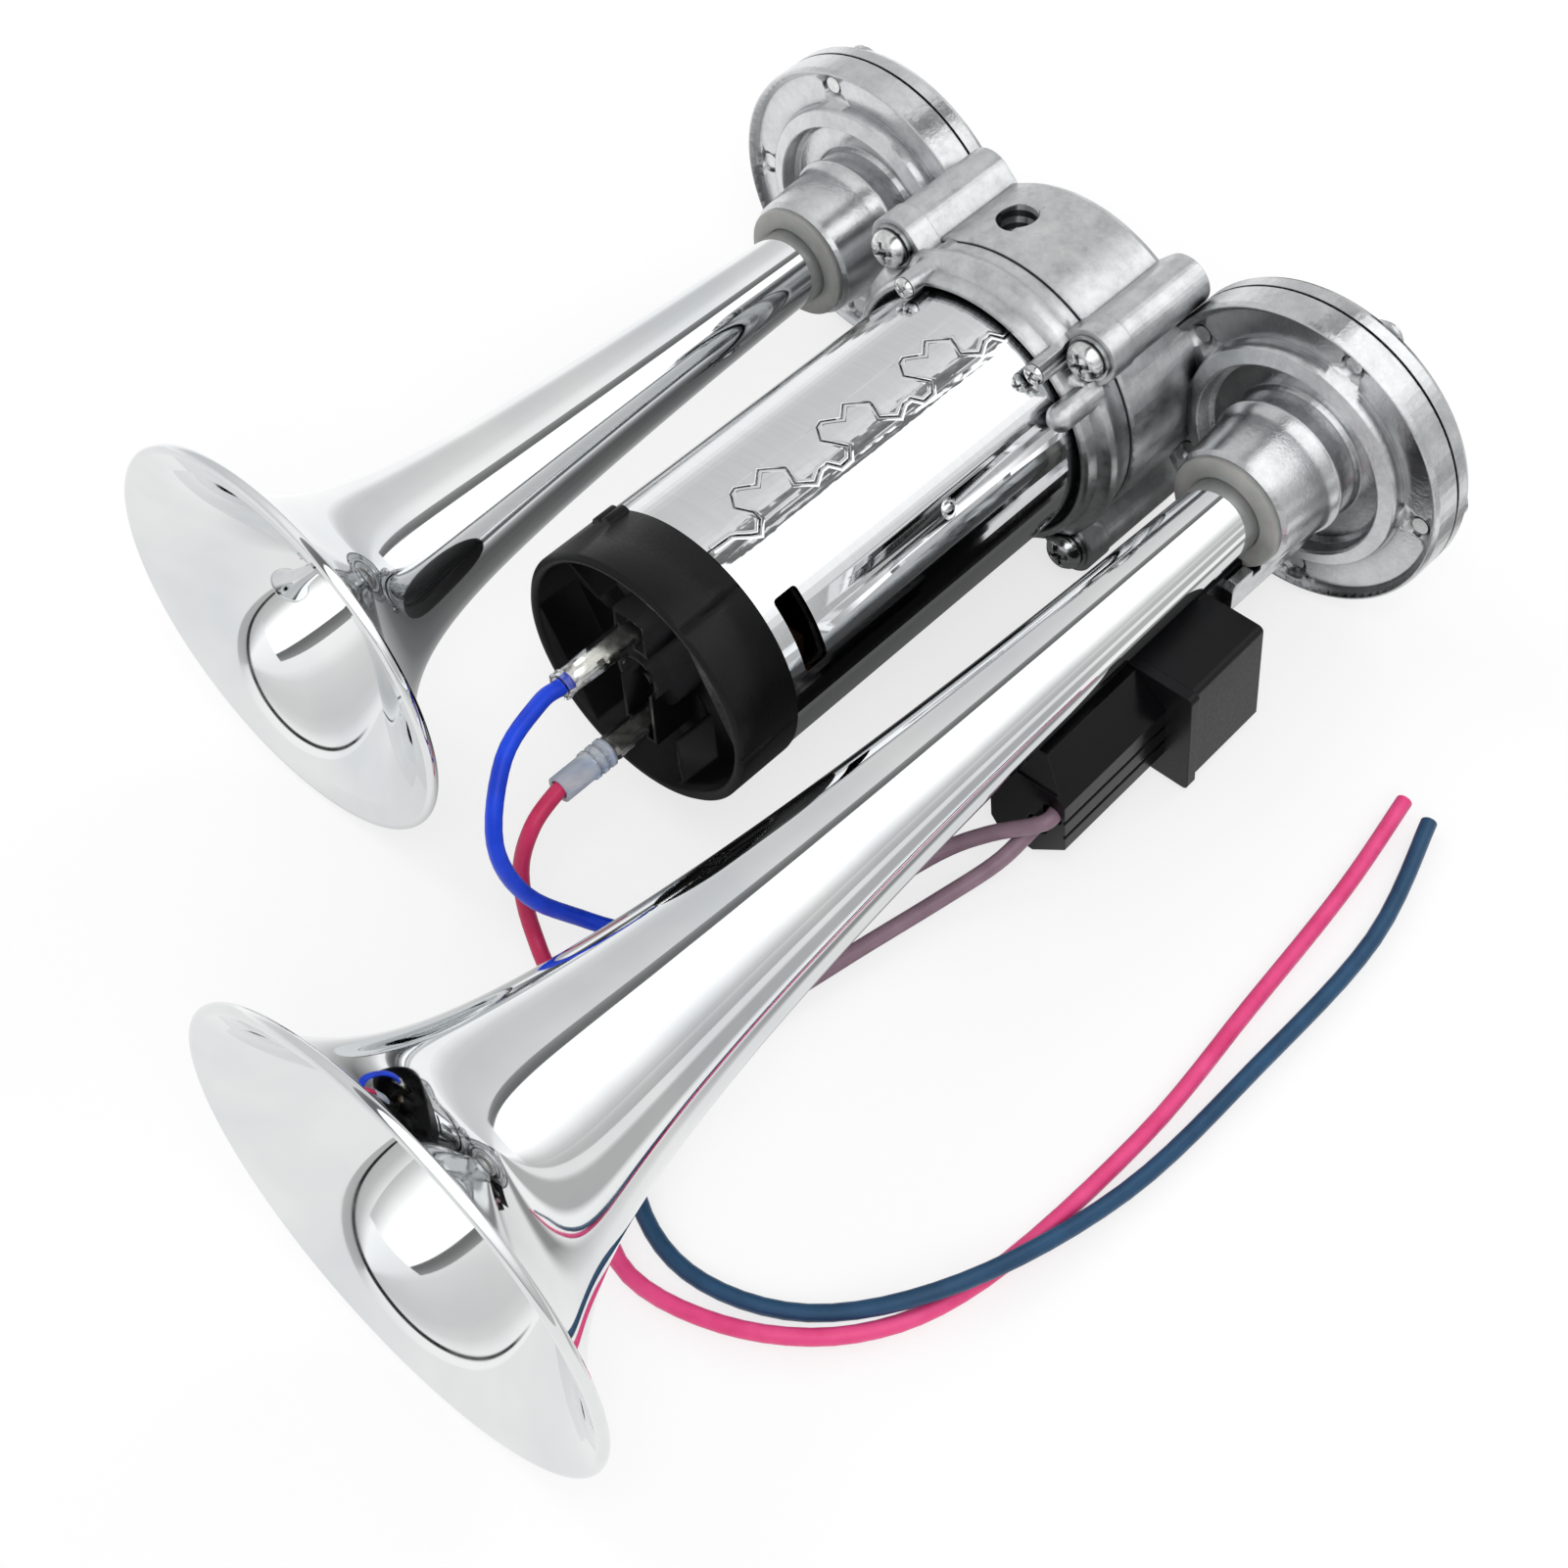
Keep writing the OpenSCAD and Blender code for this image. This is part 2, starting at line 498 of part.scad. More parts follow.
module brush_card() color(copper * 0.8) axial(card_y0) difference() {
  union() {
    cylinder(r = can_r - 1.1, h = 1.6);
    for (s = [-1, 1]) translate([s * 10 - 4.6, -2.7, 0]) cube([9.2, 5.4, 7.2]);
  }
  translate([0, 0, -1]) cylinder(r = 5.4, h = 12);
  for (s = [-1, 1]) translate([s * 10 - 5.2, -1.75, 2.4]) cube([10.4, 3.5, 3.5]);
  for (z = [-1, 1]) translate([-blade_w / 2 - 0.1, z * blade_z - 0.5, -1])
    cube([blade_w + 0.2, 1, 4]);
}
module brushes() color(black) for (s = [-1, 1]) axial(card_y0 + 2.45)
  translate([s * 8 - 3.1, -1.7, 0]) cube([6.2, 3.4, 3.4]);

// blade terminals with crimped receptacles pushed on them
blade_w = 2.8;
module terminals() color(brass) for (z = [-1, 1])
  translate([-blade_w / 2, -4.2, z * blade_z - 0.4]) cube([blade_w, card_y0 + 5, 0.8]);
crimp_r = 1.55;
crimp_y = -12;
curl_x = 1;
curl_r = 0.85;
module receptacle() difference() {
  union() {
    axial(-5.4) {
      translate([-curl_x, -curl_r, 0]) cube([2 * curl_x, 2 * curl_r, 7]);
      for (s = [-1, 1]) translate([s * curl_x, 0, 0]) cylinder(r = curl_r, h = 7, $fn = 24);
    }
    translate([-1.1, -8, -0.8]) cube([2.2, 3, 1.6]);
    axial(crimp_y) cylinder(r = crimp_r, h = 4.6, $fn = 32);
  }
  translate([-blade_w / 2 - 0.05, -4.3, -0.45]) cube([blade_w + 0.1, 9, 0.9]);
  axial(crimp_y - 1) cylinder(r = core_r, h = 4.4, $fn = 24);
}
module terminal_receptacles() color(brass)
  for (z = [-1, 1]) translate([0, 0, z * blade_z]) receptacle();
// soft boot over a receptacle, flat at the blade and round at the wire
boot_wall = 0.4;
boot_y1 = 3.5;
module boot(g, y0, y1) hull() {
  axial(y0) cylinder(r = crimp_r + 0.05 + g, h = max(-7.2 - y0, 0.2), $fn = 32);
  for (s = [-1, 1]) axial(-5.8) translate([s * (curl_x - 0.2), 0, 0])
    cylinder(r = curl_r + 0.3 + g, h = y1 + 5.8, $fn = 32);
}
module sleeve_upper() color(clear) translate([0, 0, blade_z]) difference() {
  union() {
    boot(boot_wall, -13.4, boot_y1);
    axial(-13.4) cylinder(r = crimp_r + 0.7, h = 1.2, $fn = 40);
  }
  boot(0, -14.4, boot_y1 + 1);
}
module sleeve_lower() color(clear) translate([0, 0, -blade_z]) difference() {
  boot(boot_wall, -6.3, boot_y1);
  boot(0, -7.3, boot_y1 + 1);
}
ribbed_r = crimp_r + 0.65;
ribbed_y = [-16.5, -6.5];
module sleeve_ribbed() color([0.62, 0.72, 0.86, 0.7]) translate([0, 0, -blade_z]) difference() {
  union() {
    axial(ribbed_y[0]) cylinder(r = ribbed_r, h = ribbed_y[1] - ribbed_y[0], $fn = 40);
    for (y = [-10.6, -9, -7.4]) axial(y) cylinder(r = ribbed_r + 0.25, h = 0.7, $fn = 40);
  }
  axial(ribbed_y[0] - 1) cylinder(r = crimp_r + 0.05, h = 20, $fn = 32);
}

// relay and its socket, lying on the same surface as the bells and heads
relay_y = 65;
relay_w = 15;
relay_h = 21.4;
flange_h = 21.8;
relay_x = tx + 8;
relay_z = bench_z(relay_y) + flange_h / 2 + 0.3;
module relay_pose() translate([relay_x, relay_y, relay_z]) rotate([atan(bench_slope), 0, 0]) children();
module soft_box(w, d, h, r) hull() for (sx = [-1, 1]) for (sz = [-1, 1])
  translate([sx * (w / 2 - r), 0, sz * (h / 2 - r)]) rotate([-90, 0, 0])
    cylinder(r = r, h = d, $fn = 24);
module relay_cover() color(black) difference() {
  union() {
    relay_pose() translate([0, -6.9, 0]) soft_box(relay_w, 16.4, relay_h, 1);
    translate([tab_x, relay_y + 7, tab_z - tab_h / 2])
      cube([tab_t, tab_y + 2.7 - relay_y - 7, tab_h]);
  }
  translate([tab_x - 6, tab_y, tab_z]) rotate([0, 90, 0]) cylinder(r = 1.6, h = 12, $fn = 24);
}
module relay_base() color(black) relay_pose() difference() {
  translate([0, -8.8, 0]) soft_box(relay_w + 1.4, 1.88, flange_h, 1);
  for (z = blade_row) translate([blade_x - 2.45, -10, z - 0.45]) cube([4.9, 4, 0.9]);
}
// the relay's own blades, nearer to the socket's middle than to the relay's
blade_row = [-6, 0, 6];
blade_x = -3;
module relay_blades() color(brass) relay_pose()
  for (z = blade_row) translate([blade_x - 2.4, -18, z - 0.4]) cube([4.8, 11.1, 0.8]);
socket_y0 = -32.6;
socket_len = -8.8 - socket_y0;
socket_dx = -3.8;
// the two wires' places in the socket's end: x, and height over the relay's middle
socket_wires = [[tx + 9, 1.6], [tx + 6.2, -3.2]];
module relay_socket() color(black) relay_pose() difference() {
  translate([socket_dx, socket_y0, -0.2]) socket_shell(14.6, 21.4);
  for (z = blade_row) translate([blade_x - 2.8, -19.5, z - 0.7]) cube([5.6, 12, 1.4]);
  for (q = socket_wires) translate([q[0] - relay_x, socket_y0 - 1, q[1]]) rotate([-90, 0, 0]) {
    cylinder(r = wire_r + 0.05, h = 7, $fn = 24);
    cylinder(r = wire_r + 0.6, h = 3.4, $fn = 24);
  }
  translate([socket_dx, socket_y0, 11.4]) rotate([-32, 0, 0])
    translate([-12, -9, -4]) cube([24, 12, 8]);
  for (z = [-2.6, 1]) translate([socket_dx + 7, socket_y0 - 1, z]) cube([2, 40, 0.9]);
}
module socket_shell(w, h) rotate([-90, 0, 0]) mirror([0, 1, 0]) linear_extrude(socket_len)
  polygon([[-w / 2, -h / 2 + 2], [-w / 2 + 1.4, -h / 2], [w / 2 - 6.4, -h / 2],
    [w / 2, -h / 2 + 5.6], [w / 2, h / 2 - 5.4], [w / 2 - 5.8, h / 2], [-w / 2 + 1.4, h / 2],
    [-w / 2, h / 2 - 2]]);
module relay_screw() color(plated) translate([tab_x, tab_y, tab_z]) rotate([0, 90, 0])
  pan_screw(2.6, 1.5, 1.45, tab_t + web_t - 0.8);

// wires: round tubes swept along hand-set points, most of them given as x, y and
// height over the surface the horn stands on
wire_r = wire_d / 2;
core_r = 1.35;
function on_bench(p) = [for (q = p) [q[0], q[1], bench_z(q[1]) + q[2]]];
function unit(v) = v / norm(v);
function catmull(a, b, c, d, t) = 0.5 * ((2 * b) + (c - a) * t + (2 * a - 5 * b + 4 * c - d) * t * t
  + (3 * b - a - 3 * c + d) * t * t * t);
function smooth(p, m) = [for (i = [0:len(p) - 2]) for (k = [0:m - 1])
  catmull(p[max(i - 1, 0)], p[i], p[i + 1], p[min(i + 2, len(p) - 1)], k / m), p[len(p) - 1]];
function tangent(p, i) = unit(p[min(i + 1, len(p) - 1)] - p[max(i - 1, 0)]);
// ring normals, each turned from the one before by the least angle
function normals(p, i = 0, n = [0.31, 0.2, 0.93]) = i >= len(p) ? []
  : let(t = tangent(p, i), m = unit(n - t * (n * t))) concat([m], normals(p, i + 1, m));
module cord(points, r, sides = 8) {
  p = smooth(points, 2);
  f = normals(p);
  n = len(p);
  v = [for (i = [0:n - 1]) for (k = [0:sides - 1]) p[i]
    + r * (f[i] * cos(k * 360 / sides) + cross(tangent(p, i), f[i]) * sin(k * 360 / sides))];
  polyhedron(v, concat([[for (k = [0:sides - 1]) k]],
    [for (i = [0:n - 2]) for (k = [0:sides - 1])
      let(a = i * sides + k, b = i * sides + (k + 1) % sides) [a, a + sides, b + sides, b]],
    [[for (k = [0:sides - 1]) n * sides - 1 - k]]), convexity = 6);
}
lie = wire_r + 0.1;
over = 3 * wire_r + 0.6;
core_y = crimp_y + 3.3;
ground_pts = concat([[0, core_y, blade_z], [0, -13.4, blade_z], [0, -17.6, blade_z],
    [1, -26, 6.4], [5, -33, -3], [7.6, -31, -15], [11, -23, -26.4]],
  on_bench([[20, -17.4, 3], [31, -22, over], [37.4, -35, over], [45, -48, 2], [60, -52.8, lie],
    [77, -46.4, lie], [91, -30.4, over], [98, -4, lie], [99.6, 24, lie], [99.4, 52, lie],
    [93.4, 74.4, lie]]));
// a point on the line through one of the socket's wire holes
tilt = atan(bench_slope);
function socket_end(k, y) = let(z = socket_wires[k][1]) [socket_wires[k][0],
  relay_y + y * cos(tilt) - z * sin(tilt), relay_z + y * sin(tilt) + z * cos(tilt)];
motor_pts = concat([[0, core_y, -blade_z], [0, -13.4, -blade_z], [0, -16.8, -blade_z],
    [0.4, -22.8, -12.8], [0.8, -26.6, -20]],
  on_bench([[4.6, -29, 5], [13, -31.4, 1.8], [25, -27, lie], [33, -8, lie], [36.6, 9, lie],
    [41, 21.8, 3.4], [46.6, 26.8, 7.6]]),
  [socket_end(0, socket_y0 - 2), socket_end(0, socket_y0 + 2), socket_end(0, socket_y0 + 5.9)]);
supply_pts = concat(
  [socket_end(1, socket_y0 + 5.9), socket_end(1, socket_y0 + 2), socket_end(1, socket_y0 - 2)],
  on_bench([[49.8, 24.6, 5.2], [46, 15, 2.2], [41.4, -2.6, lie], [37.4, -24, lie], [39, -46, lie],
    [51.6, -58, lie], [69, -55.4, lie], [84, -44.4, lie], [91.8, -27, lie], [94.4, 4, lie],
    [92.8, 31, lie], [91, 56, lie], [88.2, 75.4, lie]]));
module wire_ground() color([0.05, 0.25, 0.85]) cord(ground_pts, wire_r);
module wire_motor() color([0.85, 0.2, 0.45]) cord(motor_pts, wire_r);
module wire_supply() color([0.85, 0.2, 0.45]) cord(supply_pts, wire_r);

in_place() trumpet_long();
in_place() trumpet_short();
in_place() trumpet_seals();
in_place() housing();
in_place() diaphragms();
in_place() head_gaskets();
in_place() head_cover_long();
in_place() head_cover_short();
in_place() head_screws_long();
in_place() head_screws_short();
in_place() front_plate();
in_place() manifold_screws();
in_place() screw_washers();
in_place() plate_screws();
in_place() motor_screws();
in_place() pump_ring();
in_place() pump_plate();
in_place() pump_rotor();
in_place() pump_vanes();
in_place() motor_can();
in_place() flux_ring();
in_place() motor_cap();
in_place() magnets();
in_place() armature_core();
in_place() armature_windings();
in_place() commutator();
in_place() motor_shaft();
in_place() bearing_front();
in_place() bearing_rear();
in_place() brush_card();
in_place() brushes();
in_place() terminals();
in_place() terminal_receptacles();
in_place() sleeve_upper();
in_place() sleeve_lower();
in_place() sleeve_ribbed();
in_place() relay_cover();
in_place() relay_base();
in_place() relay_blades();
in_place() relay_socket();
in_place() relay_screw();
in_place() wire_ground();
in_place() wire_motor();
in_place() wire_supply();
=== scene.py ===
import math

import bmesh
import bpy
from bpy.props import FloatProperty, FloatVectorProperty, PointerProperty
from mathutils import Matrix, Vector


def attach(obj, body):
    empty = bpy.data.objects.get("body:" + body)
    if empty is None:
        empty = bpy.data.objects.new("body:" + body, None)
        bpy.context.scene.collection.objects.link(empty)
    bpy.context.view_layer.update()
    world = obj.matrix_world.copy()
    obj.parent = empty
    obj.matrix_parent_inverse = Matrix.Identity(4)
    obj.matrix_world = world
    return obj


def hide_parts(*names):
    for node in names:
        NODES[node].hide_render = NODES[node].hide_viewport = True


bl_info = {
    "name": "Twin Trumpet Air Horn",
    "version": (1, 0, 0),
    "blender": (4, 5, 0),
    "location": "View3D > Sidebar > Air Horn",
    "description": "Dresses the twin trumpet air horn with its materials, wires and studio",
    "category": "Object",
}

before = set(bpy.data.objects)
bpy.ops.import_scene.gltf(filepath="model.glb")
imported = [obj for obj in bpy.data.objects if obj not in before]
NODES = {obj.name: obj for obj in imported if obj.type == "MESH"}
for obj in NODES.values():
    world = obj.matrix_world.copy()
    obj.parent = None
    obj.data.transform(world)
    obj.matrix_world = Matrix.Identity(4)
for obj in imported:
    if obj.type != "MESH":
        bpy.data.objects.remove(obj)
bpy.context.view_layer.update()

MM = 0.001
# the motor's axis and the front of its cap in the part's frame, in metres
MOTOR_X, MOTOR_Y, MOTOR_Z = 0.006, -0.094, -0.0252982
TRUMPET_Z = MOTOR_Z + 0.001
# the surface the horn rests on falls towards the heads, and meets them this far under
# the motor's axis and this far along it, in metres
BENCH_SLOPE, BENCH_DROP, BENCH_REACH = 0.0603814, 0.026, 0.1012

# the camera fitted to the photograph: its lens and film in millimetres, its place in
# metres, and its directions to the right, up and back
LENS, FILM = 63.29, 36
CAMERA_PLACE = (0.2152, -0.2663, 0.279302)
CAMERA_AXES = ((0.7285, 0.6839, -0.0401), (-0.5121, 0.5825, 0.6313), (0.4551, -0.4394, 0.7745))

# the trumpets, in millimetres: bell radius, length, flare curve, place of the axis
# and of the small end along the motor's axis; the same curve as the solids follow
TRUMPETS = {
    "long": (38.4, 178.0, (17.8, 63.0, 9.75), 45.0, 90.4),
    "short": (34.6, 121.0, (11.5, 83.0, 9.4), -45.0, 90.4),
}
TUBE_R, TUBE_TAIL, BEAD_R, TRUMPET_WALL = 6.4, 9.0, 0.9, 1.1
# stations along a trumpet, crowded towards its mouth by this power
FLARE_STEPS, FLARE_CROWD = 110, 1.9
LATHE_SEGMENTS = 224

# edges that turn by more than this many degrees stay sharp
CREASE, CAST_CREASE, SCREW_CREASE, LATHE_CREASE = 32, 14, 40, 50
# points of a solid nearer than this are one point, in metres
WELD = 2e-6

# the mounting hole's radius and the pitch of its thread, in metres
HOLE_R, THREAD_PITCH = 3.4 * MM, 1.25 * MM
# the castings are buffed beyond this distance to the side of the motor, in metres
BUFFED_FROM, BUFFED_TO = 0.026, 0.032

# the flux ring's radius, in millimetres, and the angle of its seam over +X, in degrees
RING_R, SEAM_ANGLE = 21.9, 80.3
# the seam, in millimetres: distance along the motor and round the ring from SEAM_ANGLE,
# ending in three interlocking crowns
SEAM_START = [(13, -1.75), (17, -1.9), (19.3, -3.6), (20.4, -4.2), (22.2, -2.6), (22.4, -1.2)]
CROWN = [(0, 1.3), (1.6, 3.6), (2.8, 4), (5.4, 2.1), (7.8, 4), (10.9, 1.3), (9.8, -1.6),
         (12.2, -3.4), (14.4, -2.2), (16, -2.2), (17.2, -3.9), (19.2, -3.8), (20.8, -2.2),
         (20.2, -1.4)]
CROWNS, CROWN_START, CROWN_PITCH = 3, 20.9, 18.4
# a lip beside the seam: distance from the seam's middle and height over the ring, and
# the limit to how far its corners reach out
SEAM_LIP = [(0.15, -0.2), (0.17, 0.04), (0.28, 0.1), (0.45, 0.1), (0.65, 0.04), (0.85, -0.03)]
LIP_MITRE = 1.6
# the dents that staking left: the angle of their middle, in degrees, the angles from
# there where they end and where they are full, in radians, and their share of relief
DENT_ANGLE, DENT_END, DENT_FULL, DENT_SHARE = SEAM_ANGLE - 9, 0.26, 0.08, 18.0

# routes of the wires' middles, in metres, the same points as the solids follow
GROUND_ROUTE = [
    (0.0060, -0.1027, -0.0151), (0.0060, -0.1074, -0.0151), (0.0060, -0.1116, -0.0151),
    (0.0070, -0.1200, -0.0189), (0.0110, -0.1270, -0.0283), (0.0136, -0.1250, -0.0403),
    (0.0170, -0.1170, -0.0517), (0.0260, -0.1114, -0.0555), (0.0370, -0.1160, -0.0542),
    (0.0434, -0.1290, -0.0550), (0.0510, -0.1420, -0.0583), (0.0660, -0.1468, -0.0592),
    (0.0830, -0.1404, -0.0588), (0.0970, -0.1244, -0.0547), (0.1040, -0.0980, -0.0563),
    (0.1056, -0.0700, -0.0546), (0.1054, -0.0420, -0.0529), (0.0994, -0.0196, -0.0515),
]
MOTOR_ROUTE = [
    (0.0060, -0.1027, -0.0355), (0.0060, -0.1074, -0.0355), (0.0060, -0.1108, -0.0355),
    (0.0064, -0.1168, -0.0381), (0.0068, -0.1206, -0.0453), (0.0106, -0.1230, -0.0542),
    (0.0190, -0.1254, -0.0575), (0.0310, -0.1210, -0.0576), (0.0390, -0.1020, -0.0565),
    (0.0426, -0.0850, -0.0555), (0.0470, -0.0722, -0.0527), (0.0526, -0.0672, -0.0482),
    (0.0600, -0.0636, -0.0428), (0.0600, -0.0596, -0.0425), (0.0600, -0.0557, -0.0423),
]
SUPPLY_ROUTE = [
    (0.0572, -0.0555, -0.0471), (0.0572, -0.0594, -0.0473), (0.0572, -0.0633, -0.0476),
    (0.0558, -0.0694, -0.0507), (0.0520, -0.0790, -0.0543), (0.0474, -0.0966, -0.0562),
    (0.0434, -0.1180, -0.0575), (0.0450, -0.1400, -0.0588), (0.0576, -0.1520, -0.0595),
    (0.0750, -0.1494, -0.0594), (0.0900, -0.1384, -0.0587), (0.0978, -0.1210, -0.0576),
    (0.1004, -0.0900, -0.0558), (0.0988, -0.0630, -0.0541), (0.0970, -0.0380, -0.0526),
    (0.0942, -0.0186, -0.0515),
]
WIRE_RADIUS = 0.0013
# samples from one point of a route to the next
WIRE_STEPS = 6
# half the length over which a wire goes from one colour to the other, in metres
COLOUR_CHANGE = 0.002

# half the floor's width, and its gap under the resting surface, in metres: the casting's
# lower ribs reach a little under that surface
FLOOR_HALF, FLOOR_GAP = 3.0, 0.0009
# brightness of the surroundings as they light the horn, and the share of plain white in
# what the camera sees of the floor
SOFT_LIGHT, FLOOR_GLOW = 0.55, 0.72
# the soft lamps: name, place and size in metres, power in watts
LAMPS = [
    ("key_softbox", (0.55, -0.5, 0.75), (0.5, 0.9), 5.0),
    ("fill_softbox", (-0.75, -0.15, 0.6), (0.5, 0.9), 3.0),
    ("rear_softbox", (0.1, 0.85, 0.65), (1.0, 0.35), 3.0),
]
LAMP_AIM = (0.01, -0.07, -0.03)

# what polished metal mirrors high up, by the angle round the horn's length: degrees
# from +X over the top, and the brightness of the pale tent there
STUDIO_BANDS = [
    (-180, 1.05), (-90, 0.6), (0, 0.5), (12, 0.6), (30, 1.2), (95, 1.0), (112, 0.8),
    (135, 0.73), (155, 0.71), (166, 0.78), (175, 1.0), (180, 1.05),
]

# the dark gap that mirrors show in front of the bells: the slope of the look, over this
# much up and down, and how dark it is there, and how far to the front the look has to go
GAP_SLOPE = 0.1
GAP_STOPS = [(0.52, 0.0), (0.55, 1.0), (0.66, 1.0), (0.69, 0.0)]
GAP_START, GAP_FULL = -0.45, -0.6
GAP_SHADE = 0.02

# the painted reflection of a long softbox over the right side, in millimetres from the motor's axis:
# its line from low on the right to high in the middle, and the brightness along that line,
# which ends in the dark cloth of its frame, painted too
SOFTBOX_LINE = ((218.0, 59.4), (-15.0, 173.0))
SOFTBOX_STOPS = [(0.0, 0.6), (0.1, 0.72), (0.2, 0.97), (0.3, 1.25), (0.4, 1.5), (0.815, 1.5),
                 (0.825, 0.16), (0.9, 0.2), (1.0, 0.34)]
SOFTBOX_ENDS = (-600, 600)

# a narrow black panel that only mirrors show: a painted dark reflection that keeps the low side of
# the motor dark
FLAG_LINE = ((36.0, -13.0), (36.0, -35.0))
FLAG_STOPS = [(0.0, 0.004), (1.0, 0.004)]
FLAG_ENDS = (0, 90)

# the table as mirrors show it, painted, across the horn: millimetres from the motor's axis and
# brightness; a painted shadow of the horn lies in the middle
TABLE_STOPS = [(-200, 1.1), (-75, 1.05), (-60, 0.6), (-48, 0.42), (-30, 0.18), (-12, 0.12),
               (30, 0.1), (46, 0.2), (54, 0.8), (74, 0.87), (80, 0.3), (88, 0.3), (94, 1.05),
               (112, 1.05), (124, 0.5), (220, 0.5), (300, 0.9)]
# where along the motor, in millimetres, that pattern gives way to one shade in front
TABLE_FADE, TABLE_FRONT_SHADE = (5, -45), 0.92


def bench_height(y):
    """Height of the resting surface at a place along Y, in metres."""
    return MOTOR_Z - BENCH_DROP - BENCH_SLOPE * (BENCH_REACH - (y - MOTOR_Y))


def linear(code):
    """Linear RGBA of an sRGB hex colour."""
    out = []
    for i in (1, 3, 5):
        c = int(code[i : i + 2], 16) / 255
        out.append(c / 12.92 if c <= 0.04045 else ((c + 0.055) / 1.055) ** 2.4)
    return (*out, 1.0)


def grey(value):
    """Linear RGBA of a grey."""
    return (value, value, value, 1.0)


def add(tree, kind, inputs=None, **settings):
    """Adds a shader node with its settings; inputs are constants or sockets to link."""
    node = tree.nodes.new("ShaderNode" + kind)
    for name, value in settings.items():
        setattr(node, name, value)
    for key, value in (inputs or {}).items():
        if isinstance(value, bpy.types.NodeSocket):
            tree.links.new(value, node.inputs[key])
        else:
            node.inputs[key].default_value = value
    return node


def calculate(tree, operation, *values):
    """The result of one sum on numbers or sockets."""
    return add(tree, "Math", dict(enumerate(values)), operation=operation).outputs[0]


def remap(tree, value, low, high):
    """Runs from 0 where the value is low to 1 where it is high, and stays there."""
    return add(tree, "MapRange", {"Value": value, "From Min": low, "From Max": high}).outputs[0]


def ramp(tree, factor, stops):
    """A colour ramp with the given (position, hex or grey) stops."""
    node = add(tree, "ValToRGB", {"Fac": factor})
    elements = node.color_ramp.elements
    while len(elements) < len(stops):
        elements.new(0.5)
    for element, (place, value) in zip(elements, stops):
        element.position = place
        element.color = linear(value) if isinstance(value, str) else grey(value)
    return node.outputs["Color"]


def mix(tree, factor, a, b):
    """Colour a where factor is 0 and b where it is 1."""
    return add(tree, "Mix", {0: factor, 6: a, 7: b}, data_type="RGBA").outputs[2]


def seen_straight(tree):
    """1 for what the camera sees, also through clear plastic."""
    rays = add(tree, "LightPath").outputs
    return calculate(tree, "MAXIMUM", rays["Is Camera Ray"], rays["Is Transmission Ray"])


def seen_in_mirrors(tree):
    """1 for what polished surfaces show."""
    return add(tree, "LightPath").outputs["Is Glossy Ray"]


def blank_material(name):
    """A new material with an empty node tree."""
    material = bpy.data.materials.new(name)
    material.use_nodes = True
    material.node_tree.nodes.clear()
    return material, material.node_tree


def start_material(name, inputs):
    """A new material, its tree, its shader with those inputs, and the place on the piece."""
    material, tree = blank_material(name)
    shader = add(tree, "BsdfPrincipled", inputs)
    add(tree, "OutputMaterial", {"Surface": shader.outputs[0]})
    where = add(tree, "TexCoord").outputs["Object"]
    return material, tree, shader, where


def noise(tree, where, size_mm, detail=3.0, roughness=0.55):
    """Noise whose lumps are about size_mm across."""
    node = add(tree, "TexNoise", {"Vector": where, "Scale": 1000.0 / size_mm,
                                  "Detail": detail, "Roughness": roughness})
    return node.outputs["Fac"]


def stretched(tree, where, sx, sy, sz):
    """The coordinate squeezed along each axis, for grain and turning marks."""
    return add(tree, "Mapping", {"Vector": where, "Scale": (sx, sy, sz)}).outputs[0]


def split(tree, where):
    """The coordinate's X, Y and Z by name."""
    return add(tree, "SeparateXYZ", {"Vector": where}).outputs


def bump(tree, shader, height, depth_mm, strength=1.0, edge_mm=0.0):
    """Relief of the given depth in millimetres, with edges rounded to edge_mm."""
    node = add(tree, "Bump", {"Height": height, "Distance": depth_mm * MM, "Strength": strength})
    if edge_mm:
        rounded = add(tree, "Bevel", {"Radius": edge_mm * MM}, samples=4).outputs[0]
        tree.links.new(rounded, node.inputs["Normal"])
    tree.links.new(node.outputs[0], shader.inputs["Normal"])


def ramp_into(tree, shader, socket, factor, stops):
    """Feeds an input of the shader from a ramp."""
    tree.links.new(ramp(tree, factor, stops), shader.inputs[socket])


def with_painted_shade(tree, colour, recess_shade, reach_mm):
    """The colour darkened in corners and recesses by ambient occlusion: painted shade."""
    open_sky = add(tree, "AmbientOcclusion", {"Distance": reach_mm * MM}, samples=4).outputs["AO"]
    return mix(tree, remap(tree, open_sky, 0.25, 0.8), linear(recess_shade), colour)


def chrome_plated_abs():
    # ABS, chrome plated: a true mirror with the faint orange peel of the moulding under it
    material, tree, shader, where = start_material("abs_chrome_plated", {"Metallic": 1.0})
    tint = noise(tree, where, 26)
    ramp_into(tree, shader, "Base Color", tint, [(0.35, "#dfe2e4"), (0.65, "#eceded")])
    haze = noise(tree, where, 9, 5)
    ramp_into(tree, shader, "Roughness", haze, [(0.4, 0.03), (0.75, 0.075)])
    bump(tree, shader, noise(tree, where, 14, 1.5), 0.05, 0.35)
    return material


